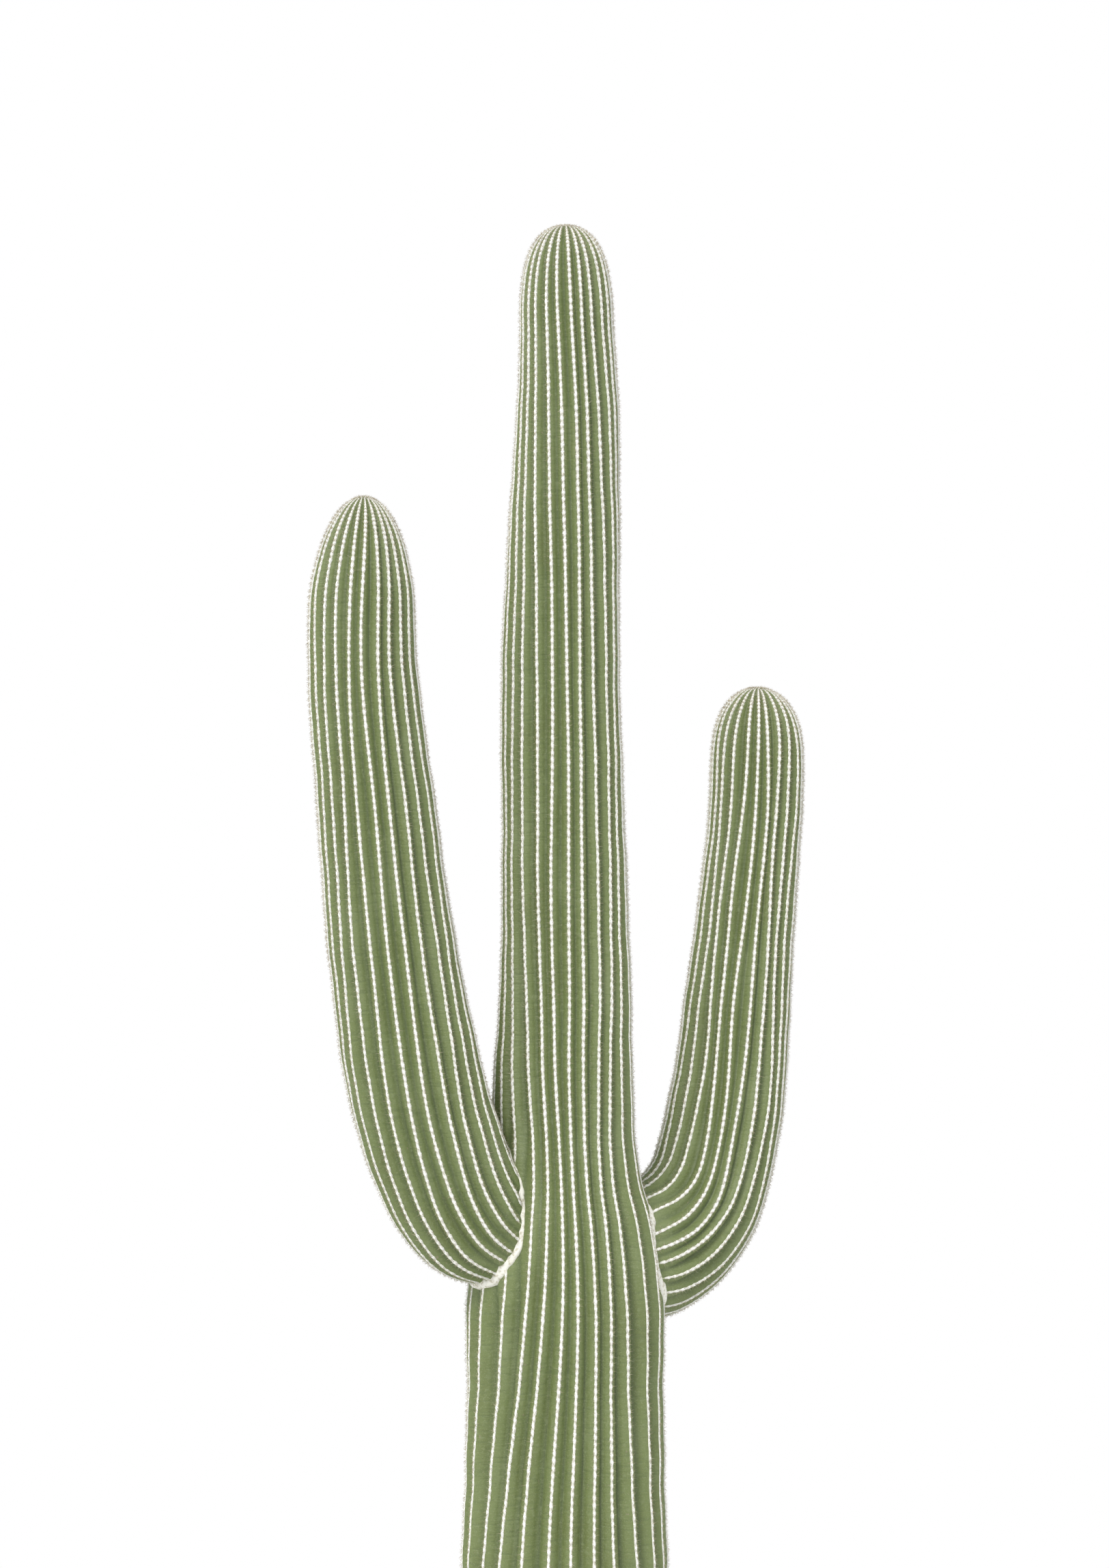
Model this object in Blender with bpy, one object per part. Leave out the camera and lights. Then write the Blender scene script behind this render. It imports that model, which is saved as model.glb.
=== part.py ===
"""A tree-like desert cactus: one ribbed trunk with two arms that sweep out and turn up.

Metres, +Z up. The origin is on the ground, in the middle of the flat cut under the trunk.
The front is the side towards -Y. A bearing is in degrees round +Z, from the front towards +X.
"""

import math
from collections import namedtuple

import bmesh
import bpy
from mathutils import Vector

# How the ribs of a stem run, in degrees and metres. All of them turn by the twist for each metre and
# sway together in one slow wave, and each wanders on its own. phase_step sets neighbours' wanders apart.
RibCourse = namedtuple(
    "RibCourse", "ribs first_rib twist sway sway_length sway_start wander wander_length phase_step"
)

# Trunk: height above the ground, sideways lean and radius over the rib crests.
TRUNK_STATIONS = (
    (0.00, 0.000, 0.338),
    (0.09, 0.000, 0.318),
    (0.30, 0.000, 0.305),
    (0.70, 0.000, 0.301),
    (1.10, 0.000, 0.299),
    (1.52, 0.001, 0.288),
    (1.90, 0.001, 0.286),
    (2.08, -0.001, 0.264),
    (2.22, -0.003, 0.229),
    (2.38, -0.005, 0.209),
    (2.56, -0.005, 0.203),
    (2.80, 0.002, 0.191),
    (3.20, -0.002, 0.180),
    (3.70, -0.012, 0.172),
    (4.18, 0.000, 0.160),
    (4.50, 0.010, 0.147),
    (4.78, 0.005, 0.134),
    (5.03, 0.001, 0.128),
)
TRUNK_COURSE = RibCourse(
    ribs=24,
    first_rib=5.6,
    twist=0.0,
    sway=3.3,
    sway_length=1.91,
    sway_start=55.0,
    wander=1.4,
    wander_length=2.96,
    phase_step=248.7,
)
TRUNK_DOME_HEIGHT = 0.24
TRUNK_DOME_ROUNDNESS = 2.4
# The trunk's centreline leans in the plane of the X axis.
TRUNK_BEARING = 90.0

# Arms: reach from the trunk's middle, height above the ground and radius over the rib crests.
# The first station of each is buried in the trunk, which cuts the arm's root.
LEFT_ARM_STATIONS = (
    (0.020, 2.000, 0.116),
    (0.120, 2.032, 0.130),
    (0.212, 2.076, 0.152),
    (0.298, 2.140, 0.187),
    (0.377, 2.262, 0.195),
    (0.466, 2.511, 0.198),
    (0.546, 2.928, 0.183),
    (0.596, 3.340, 0.169),
    (0.637, 3.752, 0.155),
    (0.633, 4.222, 0.148),
)
LEFT_ARM_BEARING = -66.0
LEFT_ARM_COURSE = RibCourse(
    ribs=23,
    first_rib=-5.3,
    twist=12.8,
    sway=4.7,
    sway_length=2.83,
    sway_start=309.4,
    wander=1.6,
    wander_length=1.96,
    phase_step=308.6,
)
LEFT_ARM_DOME_HEIGHT = 0.36
LEFT_ARM_DOME_ROUNDNESS = 2.0
LEFT_ARM_SPLIT = 0.72

RIGHT_ARM_STATIONS = (
    (0.023, 1.974, 0.110),
    (0.149, 1.985, 0.156),
    (0.270, 2.010, 0.201),
    (0.375, 2.055, 0.196),
    (0.464, 2.137, 0.185),
    (0.520, 2.248, 0.177),
    (0.578, 2.482, 0.169),
    (0.614, 2.767, 0.156),
    (0.648, 3.055, 0.144),
    (0.678, 3.340, 0.139),
    (0.684, 3.685, 0.135),
)
RIGHT_ARM_BEARING = 122.0
RIGHT_ARM_COURSE = RibCourse(
    ribs=24,
    first_rib=-0.9,
    twist=1.1,
    sway=5.0,
    sway_length=3.25,
    sway_start=115.2,
    wander=1.95,
    wander_length=1.33,
    phase_step=74.7,
)
RIGHT_ARM_DOME_HEIGHT = 0.20
RIGHT_ARM_DOME_ROUNDNESS = 2.1
RIGHT_ARM_SPLIT = 0.72

# Rings of vertices along each solid, and how many of them lie on its domed tip.
TRUNK_RINGS = 27
TRUNK_DOME_RINGS = 6
ELBOW_RINGS = 9
UPRIGHT_RINGS = 13
UPRIGHT_DOME_RINGS = 5

# Ribs: each is rounded over its crest and meets the next one in a sharp groove.
COLUMNS_PER_RIB = 4
RIB_DEPTH_TO_PITCH = 0.50
FOOT_FADE_HEIGHT = 0.55
FOOT_DEPTH_SHARE = 0.35

# A rib wanders in one long wave, as long as its course says, and one shorter, weaker wave.
SHORT_WAVE_SHARE = 0.45
SHORT_WAVES_IN_LONG = 2.1
SHORT_WAVE_PHASES = 3

# The trunk's ribs crowd towards the front at the fork, most of all in the middle, and lean left higher up.
FORK_HEIGHT = 2.0
FORK_REACH = 0.765
FORK_SQUEEZE_DEGREES = 7.9
FORK_PINCH_DEGREES = 8.0
FORK_SQUEEZE_CENTRE = 6.9
CROWN_TWIST_DEGREES = -13.9
CROWN_TWIST_FROM = 3.4
CROWN_TWIST_TO = 4.6

# Radius of the growing point, where the ribs meet at a stem's tip.
GROWING_POINT_RADIUS = 0.012

# Clear space between neighbouring solids, and how far the cutter stands out of the trunk's surface.
GAP = 0.0003
CUTTER_GROWTH = 0.0006
CENTRELINE_STEPS = 24

# Skin colours, linear.
TRUNK_GREEN = (0.186, 0.228, 0.100, 1.0)
LEFT_ARM_GREEN = (0.193, 0.236, 0.104, 1.0)
RIGHT_ARM_GREEN = (0.190, 0.232, 0.106, 1.0)
SKIN_ROUGHNESS = 0.55


def smooth_step(value, low, high):
    """0 below low, 1 above high, and an S-curve between them."""
    t = min(1.0, max(0.0, (value - low) / (high - low)))
    return t * t * (3 - 2 * t)


def curve_through(stations, steps):
    """Points on one smooth curve through the stations, with their radius as a further coordinate."""
    points = [Vector(station) for station in stations]
    ends = [2 * points[0] - points[1]] + points + [2 * points[-1] - points[-2]]
    curve = []
    for before, start, end, after in zip(ends, ends[1:], ends[2:], ends[3:]):
        span = (end - start).length
        leave = (end - before) / max((end - start).length + (start - before).length, 1e-9) * span
        arrive = (after - start) / max((after - end).length + (end - start).length, 1e-9) * span
        for k in range(steps):
            t = k / steps
            curve.append(
                start * (1 - 3 * t * t + 2 * t**3)
                + end * (3 * t * t - 2 * t**3)
                + leave * (t - 2 * t * t + t**3)
                + arrive * (t**3 - t * t)
            )
    curve.append(points[-1])
    return curve


class Stem:
    """A ribbed stem round a centreline that lies in one upright plane."""

    def __init__(self, line, bearing, course, dome_height, dome_roundness):
        """line holds (sideways, height, radius) along the centreline, in the plane of the bearing."""
        self.line = line
        self.bearing = math.radians(bearing)
        self.course = course
        self.dome_height = dome_height
        self.dome_roundness = dome_roundness
        self.outward = Vector((math.sin(self.bearing), -math.cos(self.bearing), 0))
        self.sideways = Vector((math.cos(self.bearing), math.sin(self.bearing), 0))
        self.lengths = [0.0]
        for start, end in zip(line, line[1:]):
            self.lengths.append(self.lengths[-1] + math.dist(start[:2], end[:2]))
        self.length = self.lengths[-1]

    def at(self, along):
        """Centre, tangent and stated radius at a distance along the centreline."""
        k = next(k for k in range(1, len(self.line)) if self.lengths[k] >= along or k == len(self.line) - 1)
        span = self.lengths[k] - self.lengths[k - 1]
        mid = self.line[k - 1].lerp(self.line[k], (along - self.lengths[k - 1]) / span)
        low = self.line[max(0, k - 2)]
        high = self.line[min(len(self.line) - 1, k + 1)]
        slope = Vector((high[0] - low[0], high[1] - low[1])).normalized()
        centre = self.outward * mid[0] + Vector((0, 0, mid[1]))
        tangent = self.outward * slope[0] + Vector((0, 0, slope[1]))
        return centre, tangent, mid[2]

    def crest_radius(self, along, stated):
        """The stated radius, closed to the growing point over the dome at the tip."""
        into_dome = 1 - (self.length - along) / self.dome_height
        if into_dome <= 0:
            return stated
        left = max(0.0, 1 - into_dome**self.dome_roundness)
        return max(GROWING_POINT_RADIUS, stated * left ** (1 / self.dome_roundness))

    def rib_bearing(self, rib, along, height):
        """Bearing of a rib's crest."""
        course = self.course
        even = course.first_rib + 360.0 * rib / course.ribs
        phase = math.radians(rib % course.ribs * course.phase_step)
        turn = math.tau * along / course.wander_length
        long_wave = math.sin(turn + phase)
        short_wave = math.sin(SHORT_WAVES_IN_LONG * turn + SHORT_WAVE_PHASES * phase)
        wander = course.wander * (long_wave + SHORT_WAVE_SHARE * short_wave)
        sway = course.sway * math.sin(math.tau * along / course.sway_length + math.radians(course.sway_start))
        return math.radians(even + wander + sway + course.twist * along)

    def rib_depth_share(self, height):
        """Share of the full rib depth at this height."""
        return 1.0

    def surface(self, along, column, growth=0.0):
        """The point of the skin at a distance along the stem and a column round it."""
        centre, tangent, stated = self.at(along)
        crest = self.crest_radius(along, stated)
        rib, step = divmod(column, COLUMNS_PER_RIB)
        share = step / COLUMNS_PER_RIB
        here = self.rib_bearing(rib, along, centre.z)
        beyond = self.rib_bearing(rib + 1, along, centre.z)
        from_crest = 2 * min(share, 1 - share)
        depth = RIB_DEPTH_TO_PITCH * crest * (beyond - here) * self.rib_depth_share(centre.z)
        radius = crest - depth * from_crest**2 + growth
        turn = here + (beyond - here) * share - self.bearing
        outer = self.sideways.cross(tangent)
        return centre + (outer * math.cos(turn) + self.sideways * math.sin(turn)) * radius


class Trunk(Stem):
    """The trunk's ribs fade at the foot, crowd at the fork and twist near the crown."""

    def rib_bearing(self, rib, along, height):
        """Bearing of a rib's crest."""
        plain = super().rib_bearing(rib, along, height)
        off_centre = plain - math.radians(FORK_SQUEEZE_CENTRE)
        crowding = FORK_SQUEEZE_DEGREES * math.sin(off_centre) + FORK_PINCH_DEGREES * math.sin(2 * off_centre)
        near_fork = math.exp(-(((height - FORK_HEIGHT) / FORK_REACH) ** 2))
        twist = CROWN_TWIST_DEGREES * smooth_step(height, CROWN_TWIST_FROM, CROWN_TWIST_TO)
        return plain + math.radians(twist - crowding * near_fork)

    def rib_depth_share(self, height):
        """Share of the full rib depth at this height."""
        return FOOT_DEPTH_SHARE + (1 - FOOT_DEPTH_SHARE) * smooth_step(height, 0, FOOT_FADE_HEIGHT)


def new_collection(name):
    """A collection of this name in the scene."""
    collection = bpy.data.collections.new(name)
    bpy.context.scene.collection.children.link(collection)
    return collection


def skin_material(name, colour):
    """The waxy green skin of one stem."""
    material = bpy.data.materials.new(name)
    material.use_nodes = True
    shader = material.node_tree.nodes["Principled BSDF"]
    shader.inputs["Base Color"].default_value = colour
    shader.inputs["Roughness"].default_value = SKIN_ROUGHNESS
    shader.inputs["Metallic"].default_value = 0.0
    return material


def ring_places(stem, start, end, rings, dome_rings):
    """Distances along the stem of the rings from start to end, closer together over a dome."""
    if dome_rings == 0:
        return [start + (end - start) * k / (rings - 1) for k in range(rings)]
    dome_start = stem.length - stem.dome_height
    body_rings = rings - dome_rings
    body = [start + (dome_start - start) * k / body_rings for k in range(body_rings)]
    quarter_turns = [math.pi / 2 * k / (dome_rings - 1) for k in range(dome_rings)]
    return body + [dome_start + stem.dome_height * math.sin(turn) for turn in quarter_turns]


def ribbed_object(name, stem, start, end, rings, dome_rings, collection, growth=0.0):
    """One closed stretch of a stem: a cylinder cut into rings, its vertices moved out to the ribbed skin."""
    columns = stem.course.ribs * COLUMNS_PER_RIB
    bm = bmesh.new()
    bmesh.ops.create_cone(bm, cap_ends=True, segments=columns, radius1=1, radius2=1, depth=1)
    uprights = [edge for edge in bm.edges if edge.verts[0].co.z * edge.verts[1].co.z < 0]
    bmesh.ops.subdivide_edges(bm, edges=uprights, cuts=rings - 2, use_grid_fill=True)
    places = ring_places(stem, start, end, rings, dome_rings)
    for vertex in bm.verts:
        ring = round((vertex.co.z + 0.5) * (rings - 1))
        column = round(math.atan2(vertex.co.y, vertex.co.x) / math.tau * columns) % columns
        vertex.co = stem.surface(places[ring], column, growth)
    # The trunk and its cutter have to be split into the same triangles, or the gap would close here and there.
    bmesh.ops.triangulate(bm, faces=bm.faces, quad_method="FIXED")
    bmesh.ops.recalc_face_normals(bm, faces=bm.faces)
    mesh = bpy.data.meshes.new(name)
    bm.to_mesh(mesh)
    bm.free()
    obj = bpy.data.objects.new(name, mesh)
    collection.objects.link(obj)
    return obj


def cut_away(obj, cutter):
    """Takes the cutter's volume out of the object."""
    boolean = obj.modifiers.new("seat_on_trunk", "BOOLEAN")
    boolean.operation = "DIFFERENCE"
    boolean.solver = "EXACT"
    boolean.object = cutter


def make_arm(side, arm, split, colour, cutter, collection):
    """The elbow that leaves the trunk and the upright above it, as two solids."""
    skin = skin_material(f"{side}_arm_skin", colour)
    below = split - GAP / 2
    above = split + GAP / 2
    elbow = ribbed_object(f"{side}_arm_elbow", arm, 0, below, ELBOW_RINGS, 0, collection)
    upright = ribbed_object(
        f"{side}_arm_upright", arm, above, arm.length, UPRIGHT_RINGS, UPRIGHT_DOME_RINGS, collection
    )
    cut_away(elbow, cutter)
    for piece in (elbow, upright):
        piece.data.materials.append(skin)


def main():
    """Builds the trunk and both arms."""
    for obj in list(bpy.data.objects):
        bpy.data.objects.remove(obj)
    plant = new_collection("saguaro_cactus")
    cutters = new_collection("cutters")

    sideways_line = [Vector((x, z, r)) for z, x, r in TRUNK_STATIONS]
    trunk = Trunk(
        curve_through(sideways_line, CENTRELINE_STEPS),
        TRUNK_BEARING,
        TRUNK_COURSE,
        TRUNK_DOME_HEIGHT,
        TRUNK_DOME_ROUNDNESS,
    )
    trunk_object = ribbed_object("trunk", trunk, 0, trunk.length, TRUNK_RINGS, TRUNK_DOME_RINGS, plant)
    trunk_object.data.materials.append(skin_material("trunk_skin", TRUNK_GREEN))

    cutter = ribbed_object(
        "trunk_cutter", trunk, 0, trunk.length, TRUNK_RINGS, TRUNK_DOME_RINGS, cutters, CUTTER_GROWTH
    )
    cutter.hide_render = True
    cutter.display_type = "WIRE"

    left_arm = Stem(
        curve_through(LEFT_ARM_STATIONS, CENTRELINE_STEPS),
        LEFT_ARM_BEARING,
        LEFT_ARM_COURSE,
        LEFT_ARM_DOME_HEIGHT,
        LEFT_ARM_DOME_ROUNDNESS,
    )
    right_arm = Stem(
        curve_through(RIGHT_ARM_STATIONS, CENTRELINE_STEPS),
        RIGHT_ARM_BEARING,
        RIGHT_ARM_COURSE,
        RIGHT_ARM_DOME_HEIGHT,
        RIGHT_ARM_DOME_ROUNDNESS,
    )
    make_arm("left", left_arm, LEFT_ARM_SPLIT, LEFT_ARM_GREEN, cutter, plant)
    make_arm("right", right_arm, RIGHT_ARM_SPLIT, RIGHT_ARM_GREEN, cutter, plant)


main()
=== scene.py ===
"""Looks of a tree-like desert cactus: its ribbed skin, rows of spiny felt pads and the scars of its arms.

Metres, +Z up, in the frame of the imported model. The front is the side towards -Y. A bearing is in degrees
round +Z, from the front towards +X. Each stem repeats the rib rule of its solid and carries it to a finer
skin. Pads of felt, called areoles, stand in a row on every rib, and the spines grow from them.
"""

import logging
import math
from dataclasses import dataclass, field
from enum import Enum
from functools import cached_property
from typing import Any, Callable

import bmesh
import bpy
import numpy as np
from mathutils import Matrix, Vector


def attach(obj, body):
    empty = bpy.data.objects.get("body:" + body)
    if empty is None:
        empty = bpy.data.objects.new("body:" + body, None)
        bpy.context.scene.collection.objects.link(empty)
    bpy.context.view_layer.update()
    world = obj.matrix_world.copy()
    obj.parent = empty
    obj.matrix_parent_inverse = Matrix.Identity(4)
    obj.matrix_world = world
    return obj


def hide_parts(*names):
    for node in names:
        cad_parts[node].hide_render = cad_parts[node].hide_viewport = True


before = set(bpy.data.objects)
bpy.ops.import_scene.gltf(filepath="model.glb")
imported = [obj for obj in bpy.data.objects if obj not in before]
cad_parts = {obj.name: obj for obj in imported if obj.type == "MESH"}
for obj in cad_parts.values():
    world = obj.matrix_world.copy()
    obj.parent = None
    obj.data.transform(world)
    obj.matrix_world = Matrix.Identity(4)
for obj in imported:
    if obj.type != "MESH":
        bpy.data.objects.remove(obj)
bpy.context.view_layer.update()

Colour = tuple[float, float, float, float]
Station = tuple[float, float, float]

LOG = logging.getLogger("saguaro")
BODY = "root"
# Points along the seam of an arm.
SEAM_PLACES = 160
# Metres within which two vertices are sewn into one.
WELD_DISTANCE = 1e-6
# Keeps a vector of no length from being divided by 0.
LEAST_LENGTH = 1e-12

UP = np.array([0.0, 0.0, 1.0])
GOLDEN_ANGLE = math.radians(137.5)

# Reach from the trunk's foot, height above the ground and radius over the rib crests.
TRUNK_STATIONS: tuple[Station, ...] = (
    (0.000, 0.00, 0.338),
    (0.000, 0.09, 0.318),
    (0.000, 0.30, 0.305),
    (0.000, 0.70, 0.301),
    (0.000, 1.10, 0.299),
    (0.001, 1.52, 0.288),
    (0.001, 1.90, 0.286),
    (-0.001, 2.08, 0.264),
    (-0.003, 2.22, 0.229),
    (-0.005, 2.38, 0.209),
    (-0.005, 2.56, 0.203),
    (0.002, 2.80, 0.191),
    (-0.002, 3.20, 0.180),
    (-0.012, 3.70, 0.172),
    (0.000, 4.18, 0.160),
    (0.010, 4.50, 0.147),
    (0.005, 4.78, 0.134),
    (0.001, 5.03, 0.128),
)
LEFT_ARM_STATIONS: tuple[Station, ...] = (
    (0.020, 2.000, 0.116),
    (0.120, 2.032, 0.130),
    (0.212, 2.076, 0.152),
    (0.298, 2.140, 0.187),
    (0.377, 2.262, 0.195),
    (0.466, 2.511, 0.198),
    (0.546, 2.928, 0.183),
    (0.596, 3.340, 0.169),
    (0.637, 3.752, 0.155),
    (0.633, 4.222, 0.148),
)
RIGHT_ARM_STATIONS: tuple[Station, ...] = (
    (0.023, 1.974, 0.110),
    (0.149, 1.985, 0.156),
    (0.270, 2.010, 0.201),
    (0.375, 2.055, 0.196),
    (0.464, 2.137, 0.185),
    (0.520, 2.248, 0.177),
    (0.578, 2.482, 0.169),
    (0.614, 2.767, 0.156),
    (0.648, 3.055, 0.144),
    (0.678, 3.340, 0.139),
    (0.684, 3.685, 0.135),
)


def smooth_step(value: np.ndarray, low: float, high: float) -> np.ndarray:
    """0 below low, 1 above high, and an S-curve between them."""
    t = np.clip((value - low) / (high - low), 0.0, 1.0)
    return t * t * (3 - 2 * t)


def unit(vectors: np.ndarray) -> np.ndarray:
    """The same vectors at length 1."""
    return vectors / np.maximum(np.linalg.norm(vectors, axis=-1, keepdims=True), LEAST_LENGTH)


def curve_through(stations: tuple[Station, ...], steps: int) -> np.ndarray:
    """Points on one smooth curve through the stations.

    Args:
        stations: Reach, height and radius of each station.
        steps: How many points lie on the stretch between two stations.

    Returns:
        One row of reach, height and radius for each point.
    """
    points = np.array(stations)
    ends = np.vstack([2 * points[0] - points[1], points, 2 * points[-1] - points[-2]])
    t = (np.arange(steps) / steps)[:, None]
    stretches = []
    for before, start, end, after in zip(ends, ends[1:], ends[2:], ends[3:]):
        span = np.linalg.norm(end - start)
        leave = (end - before) / (span + np.linalg.norm(start - before)) * span
        arrive = (after - start) / (np.linalg.norm(after - end) + span) * span
        stretches.append(
            start * (1 - 3 * t**2 + 2 * t**3)
            + end * (3 * t**2 - 2 * t**3)
            + leave * (t - 2 * t**2 + t**3)
            + arrive * (t**3 - t**2)
        )
    return np.vstack(stretches + [points[-1:]])


def nearest(points: np.ndarray, path: np.ndarray, block: int = 4000) -> np.ndarray:
    """Distance from each point to the nearest point of a path.

    Args:
        points: The points.
        path: Points along the path.
        block: How many points are measured at a time, which saves memory.

    Returns:
        The distance of each point.
    """
    found = [
        np.linalg.norm(points[k : k + block, None] - path[None], axis=2).min(axis=1)
        for k in range(0, len(points), block)
    ]
    return np.concatenate(found)


class Graph:
    """The node tree of one material."""

    def __init__(self, name: str) -> None:
        """Starts a material with its shader and output.

        Args:
            name: The material's name.
        """
        self.material = bpy.data.materials.new(name)
        self.material.use_nodes = True
        self.tree = self.material.node_tree
        self.shader = self.tree.nodes["Principled BSDF"]

    def node(self, kind: str, settings: dict[str, Any], sockets: dict[Any, Any]) -> bpy.types.Node:
        """Adds a node.

        Args:
            kind: The node's type.
            settings: Its own properties, which are set first.
            sockets: A value or a link for each input, by name or number.

        Returns:
            The new node.
        """
        made = self.tree.nodes.new(kind)
        for name, value in settings.items():
            setattr(made, name, value)
        for key, value in sockets.items():
            self.feed(made.inputs[key], value)
        return made

    def feed(self, socket: bpy.types.NodeSocket, value: Any) -> None:
        """Links an input, or sets its value.

        Args:
            socket: The input.
            value: A Field or an output socket to link, or the value itself.
        """
        if isinstance(value, Field):
            value = value.socket
        if isinstance(value, bpy.types.NodeSocket):
            self.tree.links.new(value, socket)
        else:
            socket.default_value = value

    def position(self) -> bpy.types.NodeSocket:
        """The place on the piece, in metres."""
        return self.node("ShaderNodeTexCoord", {}, {}).outputs["Object"]

    def height(self) -> "Field":
        """Height above the ground, in metres."""
        split = self.node("ShaderNodeSeparateXYZ", {}, {"Vector": self.position()})
        return Field(self, split.outputs["Z"])

    def attribute(self, name: str) -> "Field":
        """A number that the mesh carries at each vertex."""
        return Field(self, self.node("ShaderNodeAttribute", {"attribute_name": name}, {}).outputs["Fac"])

    def noise(self, grain: float, detail: float, stretch: float = 1.0) -> "Field":
        """Cloudy noise from 0 to 1.

        Args:
            grain: Size of its patches, in metres.
            detail: How many finer layers it has.
            stretch: How many times taller than wide its patches are.

        Returns:
            The noise as a field.
        """
        scale = Vector((1 / grain, 1 / grain, 1 / (grain * stretch)))
        place = self.node("ShaderNodeMapping", {}, {"Vector": self.position(), "Scale": scale})
        sockets = {"Vector": place.outputs[0], "Scale": 1.0, "Detail": detail}
        return Field(self, self.node("ShaderNodeTexNoise", {}, sockets).outputs["Fac"])

    def mix(self, factor: Any, first: Any, second: Any) -> bpy.types.NodeSocket:
        """A colour between two others.

        Args:
            factor: How much of the second shows, from 0 to 1.
            first: The colour at factor 0.
            second: The colour at factor 1.

        Returns:
            The mixed colour.
        """
        settings = {"data_type": "RGBA", "clamp_factor": True}
        made = self.node("ShaderNodeMix", settings, {0: factor, 6: first, 7: second})
        return made.outputs[2]

    def bump(self, height: "Field", depth: float) -> bpy.types.NodeSocket:
        """A normal that makes the height field stand out by a depth in metres."""
        sockets = {"Height": height, "Strength": 1.0, "Distance": depth}
        return self.node("ShaderNodeBump", {}, sockets).outputs["Normal"]


class Field:
    """A number that varies over a surface. Arithmetic on it adds Math nodes."""

    def __init__(self, graph: Graph, socket: bpy.types.NodeSocket) -> None:
        """Wraps an output socket of the graph."""
        self.graph = graph
        self.socket = socket

    def math(self, operation: str, first: Any, second: Any) -> "Field":
        """One Math node on two numbers or fields."""
        made = self.graph.node("ShaderNodeMath", {"operation": operation}, {0: first, 1: second})
        return Field(self.graph, made.outputs[0])

    def __add__(self, other: Any) -> "Field":
        """Sum."""
        return self.math("ADD", self, other)

    def __sub__(self, other: Any) -> "Field":
        """Difference."""
        return self.math("SUBTRACT", self, other)

    def __rsub__(self, other: Any) -> "Field":
        """Difference, with the field taken away."""
        return self.math("SUBTRACT", other, self)

    def __mul__(self, other: Any) -> "Field":
        """Product."""
        return self.math("MULTIPLY", self, other)

    __radd__ = __add__
    __rmul__ = __mul__

    def rise(self, low: float, high: float) -> "Field":
        """An S-curve over the field, from 0 to 1.

        Args:
            low: Value of the field at which the curve leaves 0.
            high: Value at which it reaches 1. It may lie below the other one.

        Returns:
            The curve as a field.
        """
        settings = {"interpolation_type": "SMOOTHSTEP"}
        sockets = {"Value": self, "From Min": low, "From Max": high}
        return Field(self.graph, self.graph.node("ShaderNodeMapRange", settings, sockets).outputs[0])


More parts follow.
